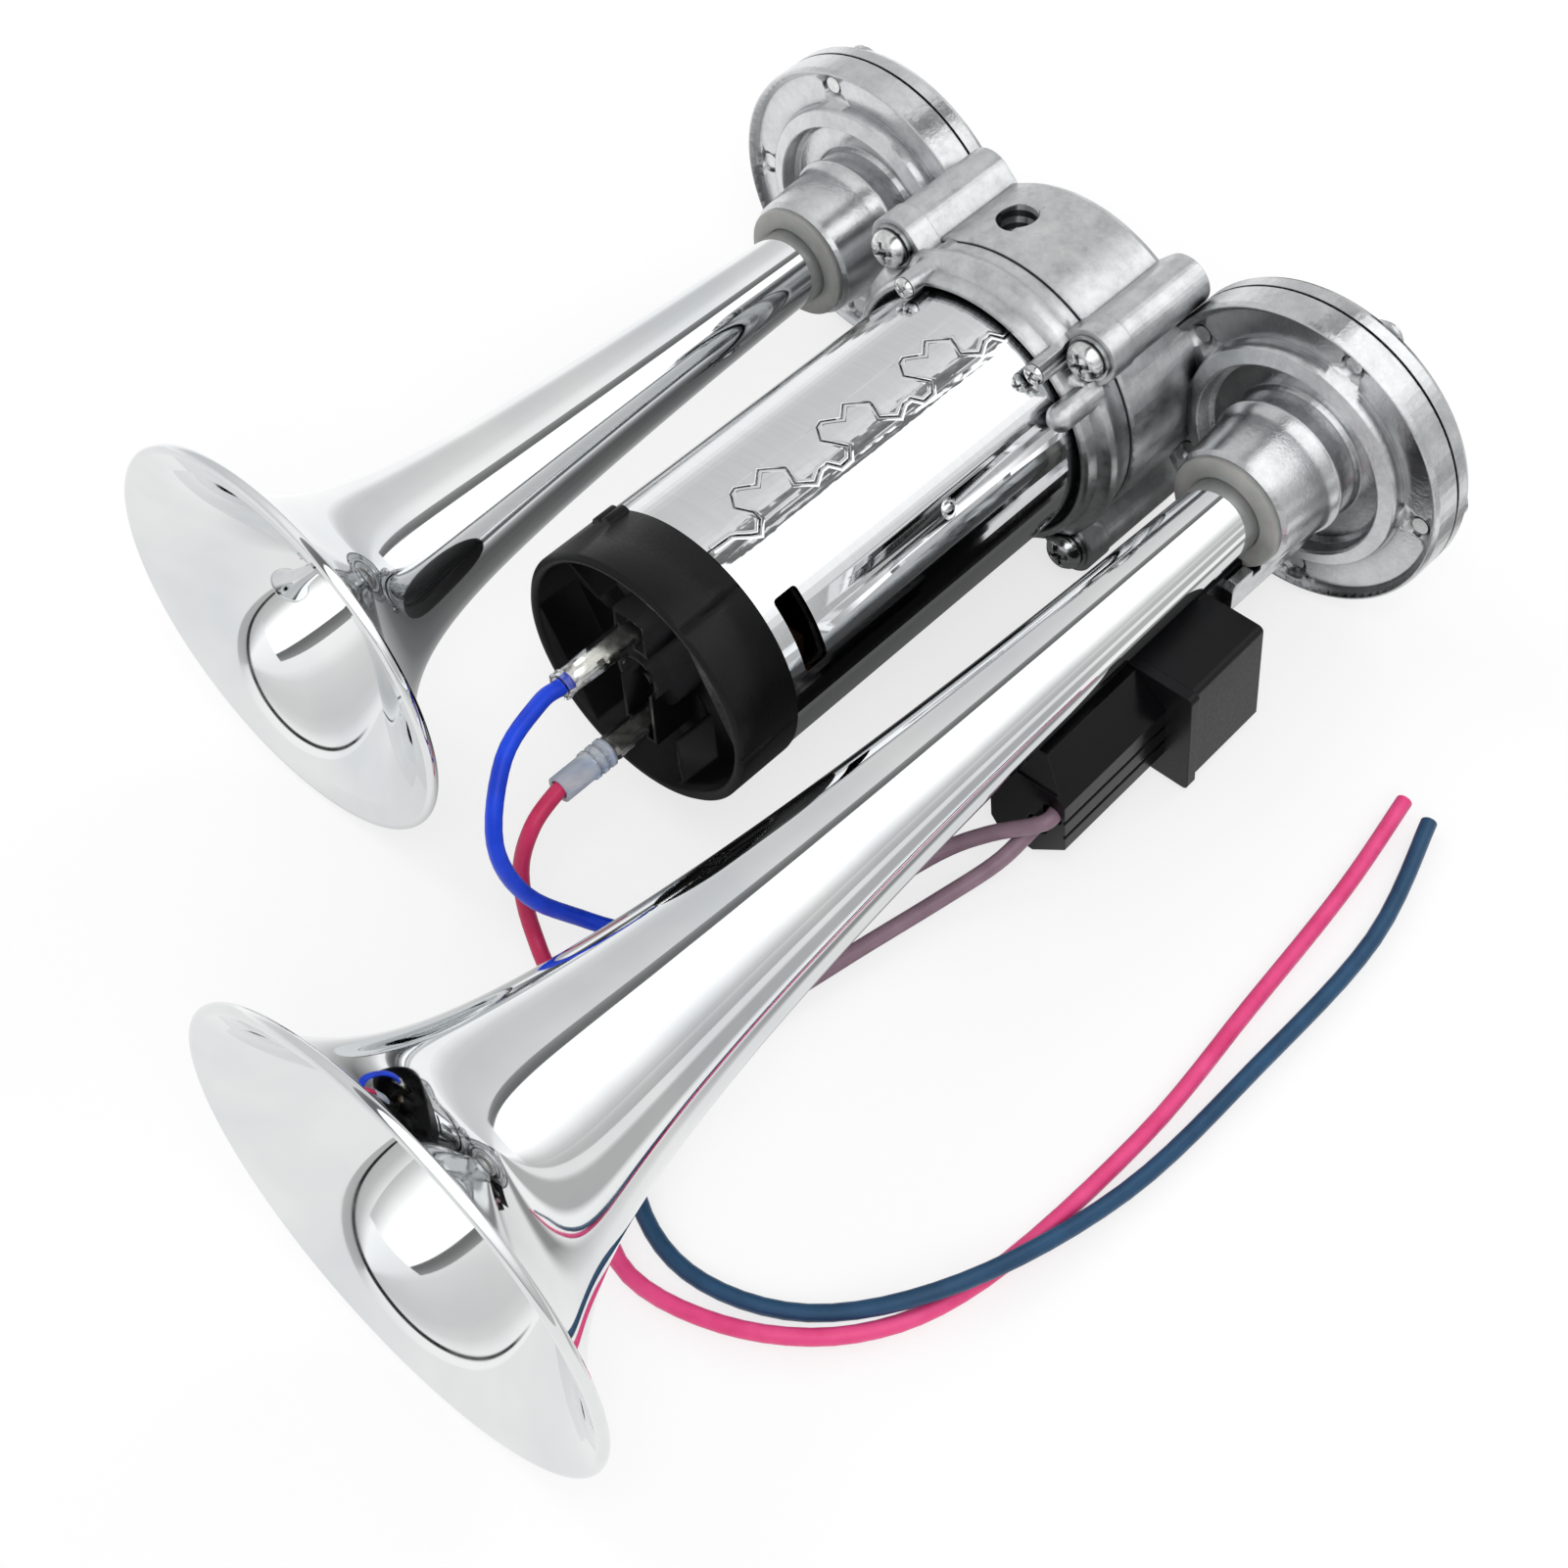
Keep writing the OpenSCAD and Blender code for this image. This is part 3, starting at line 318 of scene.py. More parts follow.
def rolled_nickel_steel():
    # steel strip, rolled and bright nickel plated: mirror with faint hairlines round the
    # ring, dented along the staked seam
    material, tree, shader, where = start_material("steel_rolled_nickel_plated", {"Metallic": 1.0})
    lines = noise(tree, stretched(tree, where, 0.06, 1.0, 0.06), 0.8, 3)
    ramp_into(tree, shader, "Base Color", lines, [(0.3, "#dddfe1"), (0.7, "#e3e4e5")])
    ramp_into(tree, shader, "Roughness", lines, [(0.3, 0.07), (0.8, 0.1)])
    place = split(tree, where)
    right = calculate(tree, "SUBTRACT", place["X"], MOTOR_X)
    up = calculate(tree, "SUBTRACT", place["Z"], MOTOR_Z)
    angle = calculate(tree, "ARCTAN2", up, right)
    from_dents = calculate(tree, "SUBTRACT", angle, math.radians(DENT_ANGLE))
    from_dents = calculate(tree, "ABSOLUTE", from_dents)
    dented = remap(tree, from_dents, DENT_END, DENT_FULL)
    dents = noise(tree, stretched(tree, where, 1, 0.6, 1), 3.0, 2)
    dents = calculate(tree, "MULTIPLY", dents, dented)
    waves = noise(tree, where, 12, 2)
    bump(tree, shader, calculate(tree, "MULTIPLY_ADD", dents, DENT_SHARE, waves), 0.03, 0.3)
    return material


def cast_aluminium():
    # aluminium, pressure die cast: dull mottled skin on the dome, buffed on the two heads,
    # and a tapped hole on top; painted shade darkens the corners, the recesses and the hole
    material, tree, shader, where = start_material("aluminium_die_cast", {"Metallic": 1.0})
    place = split(tree, where)
    aside = calculate(tree, "SUBTRACT", place["X"], MOTOR_X)
    buffed = remap(tree, calculate(tree, "ABSOLUTE", aside), BUFFED_FROM, BUFFED_TO)
    flat = add(tree, "CombineXYZ", {"X": place["X"], "Y": place["Y"]}).outputs[0]
    from_hole = add(tree, "VectorMath", {0: flat}, operation="LENGTH").outputs["Value"]
    tapped = remap(tree, from_hole, HOLE_R + 0.15 * MM, HOLE_R + 0.05 * MM)

    blotch = noise(tree, where, 4, 7, 0.75)
    skin = ramp(tree, blotch, [(0.3, "#b3b5b7"), (0.5, "#cdcfd0"), (0.7, "#dedfdf")])
    bright = ramp(tree, blotch, [(0.3, "#c0c2c4"), (0.7, "#dcddde")])
    # painted shade in corners and recesses
    face = with_painted_shade(tree, mix(tree, buffed, skin, bright), "#5c5d5f", 2.5)
    # painted shade: the tapped hole is painted darker inside
    tree.links.new(mix(tree, tapped, face, linear("#77787a")), shader.inputs["Base Color"])
    rough_skin = ramp(tree, noise(tree, where, 2.2, 5), [(0.3, 0.28), (0.7, 0.44)])
    rough_buffed = ramp(tree, noise(tree, where, 4, 5), [(0.3, 0.1), (0.7, 0.2)])
    tree.links.new(mix(tree, buffed, rough_skin, rough_buffed), shader.inputs["Roughness"])

    grain = noise(tree, where, 0.6, 5, 0.7)
    flow = noise(tree, where, 5, 3)
    pits = calculate(tree, "MULTIPLY_ADD", grain, 0.8, flow)
    round_hole = calculate(tree, "ARCTAN2", place["Y"], place["X"])
    # turns of the thread: one for each pitch in height and one for each time round
    turns = calculate(tree, "MULTIPLY", place["Z"], 1 / THREAD_PITCH)
    turns = calculate(tree, "MULTIPLY_ADD", round_hole, 0.5 / math.pi, turns)
    thread = calculate(tree, "PINGPONG", turns, 1.0)
    thread = calculate(tree, "MULTIPLY", thread, 5.0)
    bump(tree, shader, mix(tree, tapped, pits, thread), 0.08, 0.6, edge_mm=0.35)
    return material


def zinc_plated_steel():
    # steel, cold headed and bright zinc plated: small soft-edged tool marks
    material, tree, shader, where = start_material("steel_zinc_plated", {"Metallic": 1.0})
    spots = noise(tree, where, 1.1, 4)
    plating = ramp(tree, spots, [(0.3, "#c9cccd"), (0.7, "#e6e7e6")])
    # painted shade in the recesses of the heads
    tree.links.new(with_painted_shade(tree, plating, "#303133", 1.5), shader.inputs["Base Color"])
    ramp_into(tree, shader, "Roughness", spots, [(0.3, 0.12), (0.7, 0.26)])
    bump(tree, shader, noise(tree, where, 0.5, 3), 0.02, 0.5)
    return material


def plain_metal(name, tones, rough, lump_mm, relief_mm, squeeze=(1, 1, 1)):
    """A metal with a two-tone skin; each caller says which metal and surface it is."""
    material, tree, shader, where = start_material(name, {"Metallic": 1.0})
    lumps = noise(tree, stretched(tree, where, *squeeze), lump_mm, 5, 0.6)
    ramp_into(tree, shader, "Base Color", lumps, [(0.3, tones[0]), (0.7, tones[1])])
    ramp_into(tree, shader, "Roughness", lumps, [(0.3, rough[0]), (0.7, rough[1])])
    bump(tree, shader, lumps, relief_mm, 0.5)
    return material


def plain_plastic(name, tones, rough, grain_mm, relief_mm, ior=1.5):
    """A moulded or pressed black or brown material with a fine grain; each caller says
    which one it is."""
    material, tree, shader, where = start_material(name, {"IOR": ior, "Specular IOR Level": 0.22})
    cloud = noise(tree, where, grain_mm * 14, 4)
    grain = noise(tree, where, grain_mm, 3, 0.7)
    ramp_into(tree, shader, "Base Color", cloud, [(0.3, tones[0]), (0.7, tones[1])])
    ramp_into(tree, shader, "Roughness", grain, [(0.25, rough[0]), (0.75, rough[1])])
    bump(tree, shader, grain, relief_mm, 0.5, edge_mm=0.3)
    return material


def clear_vinyl(name, colour, roughness, clearness=1.0):
    # flexible PVC, dip moulded: clear with soft wrinkles that catch the light
    material, tree, shader, where = start_material(
        name, {"IOR": 1.53, "Transmission Weight": clearness})
    wrinkle = noise(tree, stretched(tree, where, 1, 0.45, 1), 2.4, 3)
    ramp_into(tree, shader, "Base Color", wrinkle, [(0.3, colour), (0.7, "#ffffff")])
    ramp_into(tree, shader, "Roughness", wrinkle, [(0.3, roughness), (0.7, roughness + 0.05)])
    bump(tree, shader, wrinkle, 0.12, 0.5)
    return material


def vinyl_insulation(name, first, second, plane, level):
    """PVC, extruded over the strands: satin, softly clouded, with a fine grain. The wire
    changes from the first colour to the second where plane . position passes level."""
    material, tree, shader, where = start_material(name, {
        "IOR": 1.52, "Specular IOR Level": 0.3, "Coat Weight": 0.1, "Coat Roughness": 0.25})
    along = add(tree, "VectorMath", {0: where, 1: plane}, operation="DOT_PRODUCT").outputs["Value"]
    changed = remap(tree, along, level - COLOUR_CHANGE, level + COLOUR_CHANGE)
    cloud = noise(tree, where, 6, 3)
    tones = [ramp(tree, cloud, [(0.3, dark), (0.7, light)]) for dark, light in (first, second)]
    tree.links.new(mix(tree, changed, *tones), shader.inputs["Base Color"])
    grain = noise(tree, where, 0.9, 4)
    ramp_into(tree, shader, "Roughness", grain, [(0.3, 0.3), (0.7, 0.44)])
    bump(tree, shader, grain, 0.03, 0.5)
    return material


def silicone_rubber():
    # silicone rubber, moulded: milky and slightly see-through, smooth
    material, tree, shader, where = start_material("silicone_rubber_moulded", {
        "IOR": 1.43, "Transmission Weight": 0.4, "Subsurface Weight": 0.2,
        "Subsurface Scale": 0.002})
    cloud = noise(tree, where, 5, 4)
    ramp_into(tree, shader, "Base Color", cloud, [(0.3, "#acadaa"), (0.7, "#c4c5c2")])
    ramp_into(tree, shader, "Roughness", cloud, [(0.3, 0.3), (0.7, 0.42)])
    bump(tree, shader, noise(tree, where, 0.8, 3), 0.03, 0.4)
    return material


def put(name, data):
    """A new object with that data, in the scene."""
    piece = bpy.data.objects.new(name, data)
    bpy.context.scene.collection.objects.link(piece)
    return piece


def new_mesh(name, verts, faces, material):
    """A mesh of those faces in one material."""
    mesh = bpy.data.meshes.new(name)
    mesh.from_pydata(verts, [], faces)
    mesh.materials.append(material)
    return mesh


def shade_smooth(mesh):
    """Smooth shading on every face."""
    mesh.polygons.foreach_set("use_smooth", [True] * len(mesh.polygons))


def stand_for(piece, node):
    """The piece rides the frame in place of a CAD node, which is hidden."""
    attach(piece, "frame")
    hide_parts(node)


def dress(material, *names):
    """Gives each named CAD node that material."""
    for name in names:
        mesh = NODES[name].data
        mesh.materials.clear()
        mesh.materials.append(material)


def smooth_piece(name, node, material, crease=CREASE):
    """Shows a CAD node with smooth normals: its own mesh, copied, with only the real
    edges kept sharp, so that curved metal reflects without flats."""
    source = NODES[node]
    mesh = source.data.copy()
    mesh.name = name
    work = bmesh.new()
    work.from_mesh(mesh)
    bmesh.ops.remove_doubles(work, verts=work.verts, dist=WELD)
    work.to_mesh(mesh)
    work.free()
    mesh.materials.clear()
    mesh.materials.append(material)
    shade_smooth(mesh)
    mesh.set_sharp_from_angle(angle=math.radians(crease))
    piece = put(name, mesh)
    piece.matrix_world = source.matrix_world
    stand_for(piece, node)


def lathe(name, profile, axis_x, start_y, axis_z, material):
    """Turns a closed (radius, distance) profile round an axis along Y."""
    verts, faces = [], []
    count = len(profile)
    for i in range(LATHE_SEGMENTS):
        angle = 2 * math.pi * i / LATHE_SEGMENTS
        for radius, along in profile:
            verts.append((axis_x + radius * math.cos(angle), start_y + along,
                          axis_z + radius * math.sin(angle)))
    for i in range(LATHE_SEGMENTS):
        here, there = i * count, ((i + 1) % LATHE_SEGMENTS) * count
        for k in range(count):
            n = (k + 1) % count
            faces.append((here + k, here + n, there + n, there + k))
    mesh = new_mesh(name, verts, faces, material)
    shade_smooth(mesh)
    mesh.set_sharp_from_angle(angle=math.radians(LATHE_CREASE))
    return put(name, mesh)


def flare(t, mouth, length, curve):
    """Outer radius of a trumpet at a distance from its mouth, in millimetres."""
    swell, slow, steep = curve
    end = length - TUBE_TAIL
    if t >= end:
        return TUBE_R
    base = TUBE_R - swell * math.exp(-end / slow)
    rise = mouth - BEAD_R - base - swell
    return base + swell * math.exp(-t / slow) + rise * math.exp(-t / steep)


def trumpet_profile(mouth, length, curve):
    """Closed profile of a trumpet: outside, rolled bead at the mouth, inside."""
    end = length - TUBE_TAIL
    steps = [end * (i / FLARE_STEPS) ** FLARE_CROWD for i in range(FLARE_STEPS, 0, -1)]
    # from the straight small end to the bead, without the stations that lie in the bead
    outside = [(TUBE_R, length), (TUBE_R, length - 3)]
    outside += [(flare(t, mouth, length, curve), t) for t in steps if t > 1.0]
    # round the bead, from the outside over the mouth to the inside
    bead = []
    for degrees in range(140, -131, -15):
        angle = math.radians(degrees)
        bead.append((mouth - BEAD_R + BEAD_R * math.cos(angle), BEAD_R * (0.5 + math.sin(angle))))
    # back to the small end, one wall inside the flare
    inside = []
    for t in sorted(t for t in steps if t > 0.35):
        radius = flare(t, mouth, length, curve)
        slope = (flare(t + 0.01, mouth, length, curve) - radius) / 0.01
        inside.append((radius - TRUMPET_WALL * math.hypot(1, slope), t))
    inside += [(TUBE_R - TRUMPET_WALL, length - 3), (TUBE_R - TRUMPET_WALL, length)]
    return [(r * MM, t * MM) for r, t in outside + bead + inside]


def seam_lips(material):
    """The metal pushed up on both sides of the staked seam."""
    path = [Vector(p) for p in SEAM_START]
    for k in range(CROWNS):
        start = CROWN_START + k * CROWN_PITCH
        path += [Vector((start + y, round_ring)) for y, round_ring in CROWN]
    verts, faces = [], []
    count = len(SEAM_LIP)
    for side in (-1, 1):
        first = len(verts)
        for i, point in enumerate(path):
            before = (point - path[i - 1] if i else path[1] - point).normalized()
            after = (path[i + 1] - point if i < len(path) - 1 else before).normalized()
            across = Vector((-(before + after).y, (before + after).x)).normalized()
            mitre = 1 / max(across.dot(Vector((-before.y, before.x))), 1 / LIP_MITRE)
            for offset, height in SEAM_LIP:
                y, round_ring = point + across * (side * offset * mitre)
                angle = math.radians(SEAM_ANGLE) + math.asin(round_ring / RING_R)
                radius = RING_R + height
                verts.append((MOTOR_X + radius * math.cos(angle) * MM, MOTOR_Y + y * MM,
                              MOTOR_Z + radius * math.sin(angle) * MM))
        for i in range(len(path) - 1):
            for k in range(count - 1):
                here = first + i * count + k
                quad = (here, here + 1, here + count + 1, here + count)
                faces.append(quad if side > 0 else quad[::-1])
    mesh = new_mesh("seam_lips", verts, faces, material)
    shade_smooth(mesh)
    piece = put("seam_lips", mesh)
    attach(piece, "frame")


def wire_line(points):
    """Samples of the smooth curve through the points, and its length."""
    line = []
    last = len(points) - 1
    for i in range(last):
        a, b, c, d = (Vector(points[max(0, min(last, k))]) for k in (i - 1, i, i + 1, i + 2))
        for k in range(WIRE_STEPS):
            t = k / WIRE_STEPS
            line.append(0.5 * ((2 * b) + (c - a) * t + (2 * a - 5 * b + 4 * c - d) * t * t
                               + (3 * b - a - 3 * c + d) * t ** 3))
    line.append(Vector(points[-1]))
    return line, sum((q - p).length for p, q in zip(line, line[1:]))


def lay_wire(name, node, points, material):
    """One insulated wire along its route, in place of its CAD node."""
    line, length = wire_line(points)
    curve = bpy.data.curves.new(name, "CURVE")
    curve.dimensions = "3D"
    spline = curve.splines.new("POLY")
    spline.points.add(len(line) - 1)
    for point, place in zip(spline.points, line):
        point.co = (*place, 1.0)
    curve.bevel_depth = WIRE_RADIUS
    curve.bevel_resolution = 5
    curve.use_fill_caps = True
    curve.materials.append(material)
    wire = put(name, curve)
    stand_for(wire, node)


def mirrored_studio(tree):
    """The light tent as mirror-like surfaces show it."""
    look = split(tree, add(tree, "TexCoord").outputs["Generated"])
    angle = calculate(tree, "ARCTAN2", look["Z"], look["X"])
    round_horn = remap(tree, angle, -math.pi, math.pi)
    tent = ramp(tree, round_horn, [((a + 180) / 360, v) for a, v in STUDIO_BANDS])
    in_front = remap(tree, look["Y"], GAP_START, GAP_FULL)
    gap = ramp(tree, remap(tree, look["Z"], -GAP_SLOPE, GAP_SLOPE), GAP_STOPS)
    gap = calculate(tree, "MULTIPLY", gap, in_front)
    return mix(tree, gap, tent, grey(GAP_SHADE))


def studio_world():
    """White to the camera, soft light on the horn, and the light tent in mirrors."""
    world = bpy.data.worlds.new("studio_world")
    world.use_nodes = True
    tree = world.node_tree
    tree.nodes.clear()
    white = add(tree, "Background", {"Color": grey(1), "Strength": 1.0}).outputs[0]
    tent = add(tree, "Background", {"Color": mirrored_studio(tree), "Strength": 1.0}).outputs[0]
    soft = add(tree, "Background", {"Color": grey(1), "Strength": SOFT_LIGHT}).outputs[0]
    lit = add(tree, "MixShader", {0: seen_in_mirrors(tree), 1: soft, 2: tent}).outputs[0]
    out = add(tree, "MixShader", {0: seen_straight(tree), 1: lit, 2: white}).outputs[0]
    add(tree, "OutputWorld", {"Surface": out})
    return world


def studio_white(colour):
    """Matt paper: white to the camera and with the horn's soft shadow. Mirrors show instead
    a painted reflection of the table, with the horn's shadow painted across it."""
    material, tree = blank_material("floor_paper_white")
    matt = add(tree, "BsdfPrincipled", {"Roughness": 0.9, "Base Color": tuple(colour)}).outputs[0]
    glow = add(tree, "Emission", {"Color": grey(1), "Strength": 1.0}).outputs[0]
    share = calculate(tree, "MULTIPLY", seen_straight(tree), FLOOR_GLOW)
    paper = add(tree, "MixShader", {0: share, 1: matt, 2: glow}).outputs[0]

    # painted shadow and painted light of the table, shown only in mirrors
    low, high = TABLE_STOPS[0][0], TABLE_STOPS[-1][0]
    place = split(tree, add(tree, "TexCoord").outputs["Object"])
    across = remap(tree, place["X"], MOTOR_X + low * MM, MOTOR_X + high * MM)
    shades = ramp(tree, across, [((x - low) / (high - low), v) for x, v in TABLE_STOPS])
    fade_from, fade_to = [MOTOR_Y + y * MM for y in TABLE_FADE]
    in_front = remap(tree, place["Y"], fade_from, fade_to)
    shades = mix(tree, in_front, shades, grey(TABLE_FRONT_SHADE))
    mirrored = add(tree, "Emission", {"Color": shades, "Strength": 1.0}).outputs[0]
    out = add(tree, "MixShader", {0: seen_in_mirrors(tree), 1: paper, 2: mirrored}).outputs[0]
    add(tree, "OutputMaterial", {"Surface": out})
    return material


def reflector(name, line, stops, ends):
    """A long glowing panel beside the horn that only mirror-like surfaces show, a painted
    reflection that lights nothing. The stops give its brightness from the first end of the line to
    the second."""
    (x0, z0), (x1, z1) = [(MOTOR_X + x * MM, MOTOR_Z + z * MM) for x, z in line]
    y0, y1 = [MOTOR_Y + y * MM for y in ends]
    material, tree = blank_material(name + "_painted_reflection")
    place = add(tree, "NewGeometry").outputs["Position"]
    offset = add(tree, "VectorMath", {0: place, 1: (x0, 0, z0)}, operation="SUBTRACT").outputs[0]
    reach = (x1 - x0) ** 2 + (z1 - z0) ** 2
    along = add(tree, "VectorMath", {0: offset, 1: ((x1 - x0) / reach, 0, (z1 - z0) / reach)},
                operation="DOT_PRODUCT").outputs["Value"]
    glow = add(tree, "Emission", {"Color": ramp(tree, along, stops), "Strength": 1.0}).outputs[0]
    add(tree, "OutputMaterial", {"Surface": glow})
    corners = [(x0, y0, z0), (x0, y1, z0), (x1, y1, z1), (x1, y0, z1)]
    panel = put(name, new_mesh(name, corners, [(0, 1, 2, 3)], material))
    panel.visible_camera = False
    panel.visible_diffuse = False
    panel.visible_transmission = False
    panel.visible_volume_scatter = False
    panel.visible_shadow = False


class HornColours(bpy.types.PropertyGroup):
    """Colours a user may change"""

    floor: FloatVectorProperty(name="Floor", description="Colour of the studio floor",
                               subtype="COLOR", size=4, min=0, max=1, default=linear("#f8f8f8"))


class HornSizes(bpy.types.PropertyGroup):
    """Sizes a user may change"""

    lens: FloatProperty(name="Lens", description="Focal length of the photograph's view",
                        default=LENS, min=20, max=200, unit="CAMERA")


class HORN_OT_camera(bpy.types.Operator):
    """Place the camera at the photograph's viewing angle"""

    bl_idname = "horn.camera"
    bl_label = "Camera"

    def execute(self, context):
        data = bpy.data.cameras.new("photo_view")
        data.lens = context.scene.horn_sizes.lens
        data.sensor_width = FILM
        data.sensor_height = FILM
        camera = put("photo_view", data)
        turn = Matrix(CAMERA_AXES).transposed().to_4x4()
        camera.matrix_world = Matrix.Translation(CAMERA_PLACE) @ turn
        context.scene.camera = camera
        return {"FINISHED"}


class HORN_OT_wires(bpy.types.Operator):
    """Lay the three insulated wires"""

    bl_idname = "horn.wires"
    bl_label = "Wires"

    def execute(self, context):
        blue, navy = ("#0034c0", "#0044e0"), ("#163a58", "#1f4a6c")
        crimson, mauve, pink = ("#b92450", "#cf2f60"), ("#7c6470", "#8e7682"), ("#d63873", "#e8508a")
        # each wire changes colour where it passes a plane: its direction and place in metres
        ground = vinyl_insulation("pvc_extruded_blue", blue, navy, (1, 0, 0), 0.041)
        lay_wire("ground_wire", "wire_ground", GROUND_ROUTE, ground)
        motor = vinyl_insulation("pvc_extruded_crimson", crimson, mauve, (0, 1, 0), -0.099)
        lay_wire("motor_wire", "wire_motor", MOTOR_ROUTE, motor)
        supply = vinyl_insulation("pvc_extruded_pink", mauve, pink, (1, -0.35, 0), 0.0892)
        lay_wire("supply_wire", "wire_supply", SUPPLY_ROUTE, supply)
        return {"FINISHED"}


class HORN_OT_trumpets(bpy.types.Operator):
    """Dress the two trumpets and their seals"""

    bl_idname = "horn.trumpets"
    bl_label = "Trumpets"

    def execute(self, context):
        chrome = chrome_plated_abs()
        for side, (mouth, length, curve, across, end_y) in TRUMPETS.items():
            piece = lathe(side + "_trumpet", trumpet_profile(mouth, length, curve),
                          MOTOR_X + across * MM, MOTOR_Y + (end_y - length) * MM, TRUMPET_Z, chrome)
            stand_for(piece, "trumpet_" + side)
        smooth_piece("trumpet_seal_rings", "trumpet_seals", silicone_rubber())
        return {"FINISHED"}


class HORN_OT_manifold(bpy.types.Operator):
    """Dress the castings and their fasteners"""

    bl_idname = "horn.manifold"
    bl_label = "Manifold and heads"

    def execute(self, context):
        cast = cast_aluminium()
        for name, node in (("manifold_casting", "housing"), ("pump_front_plate", "front_plate"),
                           ("long_head_cover", "head_cover_long"),
                           ("short_head_cover", "head_cover_short")):
            smooth_piece(name, node, cast, CAST_CREASE)
        zinc = zinc_plated_steel()
        smooth_piece("four_long_screws", "manifold_screws", zinc, SCREW_CREASE)
        smooth_piece("two_plate_screws", "plate_screws", zinc, SCREW_CREASE)
        dress(zinc, "head_screws_long", "head_screws_short", "screw_washers", "motor_screws",
              "relay_screw")
        return {"FINISHED"}


class HORN_OT_motor(bpy.types.Operator):
    """Dress the motor, its end cap and its terminals"""

    bl_idname = "horn.motor"
    bl_label = "Motor"

    def execute(self, context):
        nickel = rolled_nickel_steel()
        smooth_piece("motor_flux_ring", "flux_ring", nickel)
        seam_lips(nickel)
        # sheet steel, drawn and zinc plated: greyer than the ring, with draw lines
        dress(plain_metal("steel_drawn_zinc_plated", ("#8f9294", "#b4b7b8"), (0.22, 0.38),
                          lump_mm=2.5, relief_mm=0.03, squeeze=(1, 0.15, 1)), "motor_can")
        # polyamide, glass filled and moulded: satin black with a fine fibre grain
        black = plain_plastic("polyamide_glass_filled_moulded", ("#050506", "#0b0b0d"), (0.34, 0.5),
                              grain_mm=0.5, relief_mm=0.05)
        smooth_piece("motor_end_cap", "motor_cap", black)
        # brass, stamped and tinned: bright and faintly yellow
        dress(plain_metal("brass_stamped_tinned", ("#d6d3c8", "#eeece4"), (0.16, 0.26),
                          lump_mm=1.4, relief_mm=0.005),
              "terminals", "terminal_receptacles", "relay_blades")
        clear = clear_vinyl("pvc_clear_dip_moulded", "#f2f5f8", 0.02)
        smooth_piece("upper_boot", "sleeve_upper", clear)
        smooth_piece("lower_boot", "sleeve_lower", clear)
        tinted = clear_vinyl("pvc_tinted_dip_moulded", "#c3d6f2", 0.12, clearness=0.6)
        smooth_piece("ribbed_sleeve", "sleeve_ribbed", tinted)
        # bronze, sintered and oiled
        dress(plain_metal("bronze_sintered", ("#8a6a3c", "#b08a52"), (0.35, 0.5),
                          lump_mm=0.6, relief_mm=0.03), "bearing_front", "bearing_rear")
        return {"FINISHED"}


class HORN_OT_inner_parts(bpy.types.Operator):
    """Dress the pieces inside the motor, the pump and the heads"""

    bl_idname = "horn.inner_parts"
    bl_label = "Inner parts"

    def execute(self, context):
        # steel, ground and polished
        dress(plain_metal("steel_ground", ("#b9bcbe", "#d4d6d7"), (0.14, 0.24),
                          lump_mm=0.8, relief_mm=0.01, squeeze=(1, 0.2, 1)), "motor_shaft")
        # spring steel, rolled
        dress(plain_metal("spring_steel_rolled", ("#a8abac", "#c6c8c8"), (0.18, 0.3),
                          lump_mm=1.6, relief_mm=0.01), "diaphragms")
        # steel, pressed and sintered: porous and oiled
        dress(plain_metal("steel_sintered", ("#55565a", "#77787b"), (0.36, 0.52),
                          lump_mm=0.5, relief_mm=0.05), "pump_ring", "pump_plate", "pump_rotor")
        # electrical steel, stamped and stacked: edges of the sheets show as rings
        dress(plain_metal("electrical_steel_stacked", ("#4a4c50", "#7b7d80"), (0.3, 0.45),
                          lump_mm=1.2, relief_mm=0.08, squeeze=(0.05, 1, 0.05)), "armature_core")
        # copper wire, enamelled and wound
        dress(plain_metal("copper_enamelled", ("#7c3d20", "#b56a3e"), (0.2, 0.36),
                          lump_mm=1.0, relief_mm=0.15, squeeze=(1, 0.08, 1)), "armature_windings")
        # copper, turned: commutator bars
        dress(plain_metal("copper_turned", ("#a8623c", "#c98258"), (0.2, 0.34),
                          lump_mm=0.6, relief_mm=0.02, squeeze=(0.1, 1, 0.1)), "commutator")
        # ferrite, pressed and ground: dark grey, matt
        dress(plain_plastic("ferrite_ground", ("#26272a", "#35363a"), (0.55, 0.75),
                            grain_mm=0.4, relief_mm=0.04, ior=2.0), "magnets")
        # carbon, pressed: brushes and vanes
        dress(plain_plastic("carbon_pressed", ("#17171a", "#242428"), (0.4, 0.6),
                            grain_mm=0.3, relief_mm=0.03, ior=1.8), "brushes", "pump_vanes")
        # paper phenolic board, laminated
        dress(plain_plastic("phenolic_laminated", ("#20140c", "#2c1c12"), (0.4, 0.6),
                            grain_mm=0.6, relief_mm=0.03, ior=1.55), "brush_card")
        # fibre gasket board, pressed
        dress(plain_plastic("gasket_fibre_pressed", ("#34342f", "#474740"), (0.7, 0.9),
                            grain_mm=0.6, relief_mm=0.08), "head_gaskets")
        return {"FINISHED"}


class HORN_OT_relay(bpy.types.Operator):
    """Dress the relay and its socket"""

    bl_idname = "horn.relay"
    bl_label = "Relay"

    def execute(self, context):
        # polybutylene terephthalate, moulded: satin black
        dress(plain_plastic("pbt_moulded_satin", ("#08080a", "#0e0e11"), (0.3, 0.44),
                            grain_mm=0.6, relief_mm=0.03), "relay_cover", "relay_base")
        # polyamide, moulded in a polished tool: glossy black
        dress(plain_plastic("polyamide_moulded_gloss", ("#050507", "#0a0a0c"), (0.14, 0.24),
                            grain_mm=1.2, relief_mm=0.03), "relay_socket")
        return {"FINISHED"}


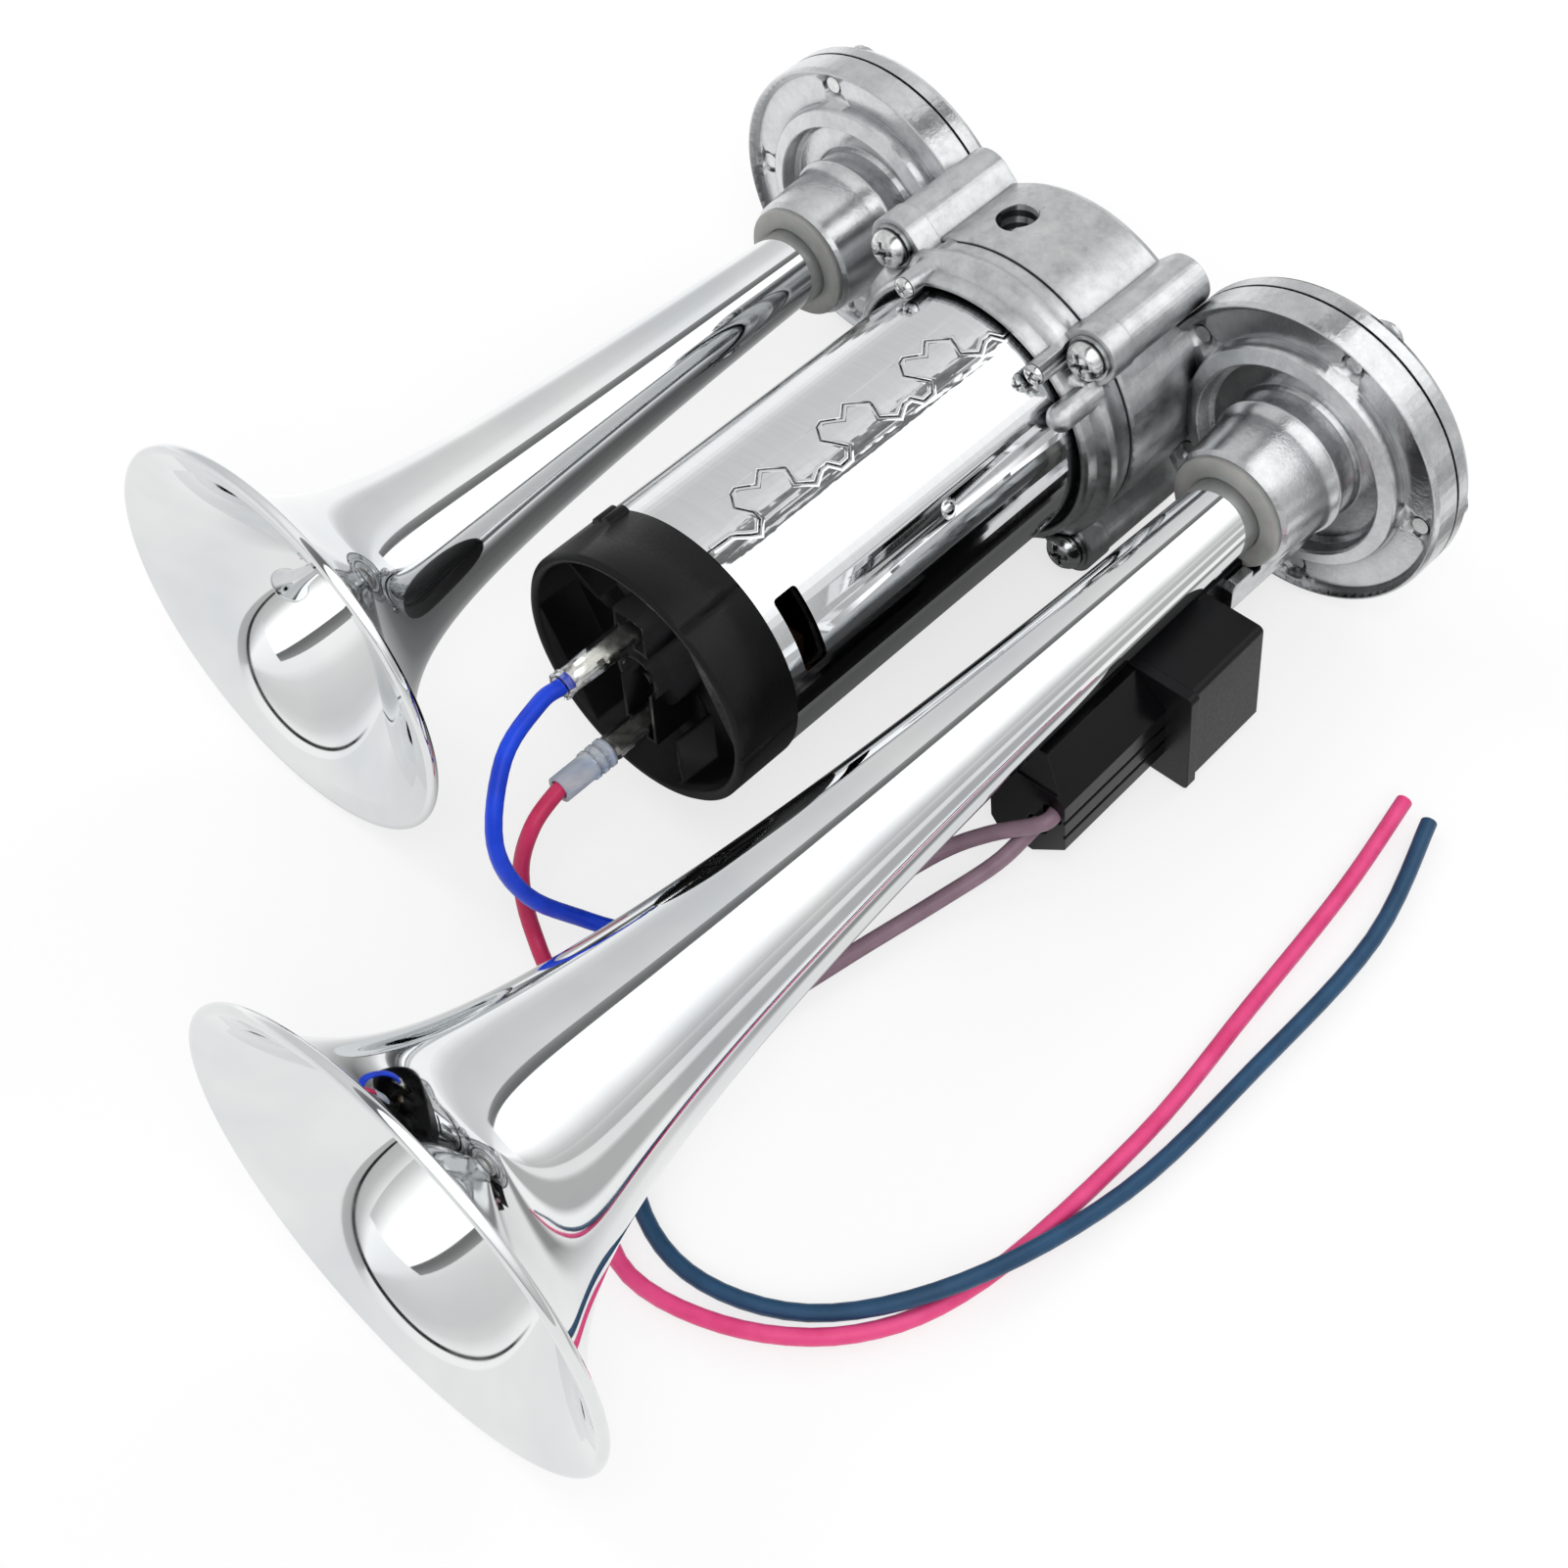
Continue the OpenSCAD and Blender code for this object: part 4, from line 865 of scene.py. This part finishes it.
class HORN_OT_studio(bpy.types.Operator):
    """Set the floor, the soft lamps and the white surroundings"""

    bl_idname = "horn.studio"
    bl_label = "Studio"

    def execute(self, context):
        scene = context.scene
        scene.view_settings.view_transform = "Standard"
        scene.world = studio_world()
        corners = [(x * FLOOR_HALF, y * FLOOR_HALF, bench_height(y * FLOOR_HALF) - FLOOR_GAP)
                   for x, y in ((-1, -1), (1, -1), (1, 1), (-1, 1))]
        paper = studio_white(scene.horn_colours.floor)
        floor = put("floor", new_mesh("floor", corners, [(0, 1, 2, 3)], paper))
        reflector("softbox_reflection_panel", SOFTBOX_LINE, SOFTBOX_STOPS, SOFTBOX_ENDS)
        reflector("dark_reflection_panel", FLAG_LINE, FLAG_STOPS, FLAG_ENDS)
        for name, place, size, power in LAMPS:
            data = bpy.data.lights.new(name, "AREA")
            data.shape = "RECTANGLE"
            data.size, data.size_y = size
            data.energy = power
            lamp = put(name, data)
            lamp.visible_glossy = False
            aim = Vector(LAMP_AIM) - Vector(place)
            turn = aim.to_track_quat("-Z", "Y").to_matrix().to_4x4()
            lamp.matrix_world = Matrix.Translation(place) @ turn
        return {"FINISHED"}


OPERATORS = (HORN_OT_camera, HORN_OT_wires, HORN_OT_trumpets, HORN_OT_manifold, HORN_OT_motor,
             HORN_OT_inner_parts, HORN_OT_relay, HORN_OT_studio)


class HORN_PT_panel(bpy.types.Panel):
    """Lists the steps that dress the horn"""

    bl_idname = "HORN_PT_panel"
    bl_label = "Air Horn"
    bl_space_type = "VIEW_3D"
    bl_region_type = "UI"
    bl_category = "Air Horn"

    def draw(self, context):
        column = self.layout.column()
        column.prop(context.scene.horn_colours, "floor")
        column.prop(context.scene.horn_sizes, "lens")
        for operator in OPERATORS:
            column.operator(operator.bl_idname)


CLASSES = (HornColours, HornSizes, *OPERATORS, HORN_PT_panel)


def register():
    for cls in CLASSES:
        bpy.utils.register_class(cls)
    bpy.types.Scene.horn_colours = PointerProperty(type=HornColours)
    bpy.types.Scene.horn_sizes = PointerProperty(type=HornSizes)


def unregister():
    del bpy.types.Scene.horn_sizes
    del bpy.types.Scene.horn_colours
    for cls in reversed(CLASSES):
        bpy.utils.unregister_class(cls)


def main():
    register()
    bpy.ops.horn.camera()
    bpy.ops.horn.wires()
    bpy.ops.horn.trumpets()
    bpy.ops.horn.manifold()
    bpy.ops.horn.motor()
    bpy.ops.horn.inner_parts()
    bpy.ops.horn.relay()
    bpy.ops.horn.studio()


if __name__ == "__main__":
    main()
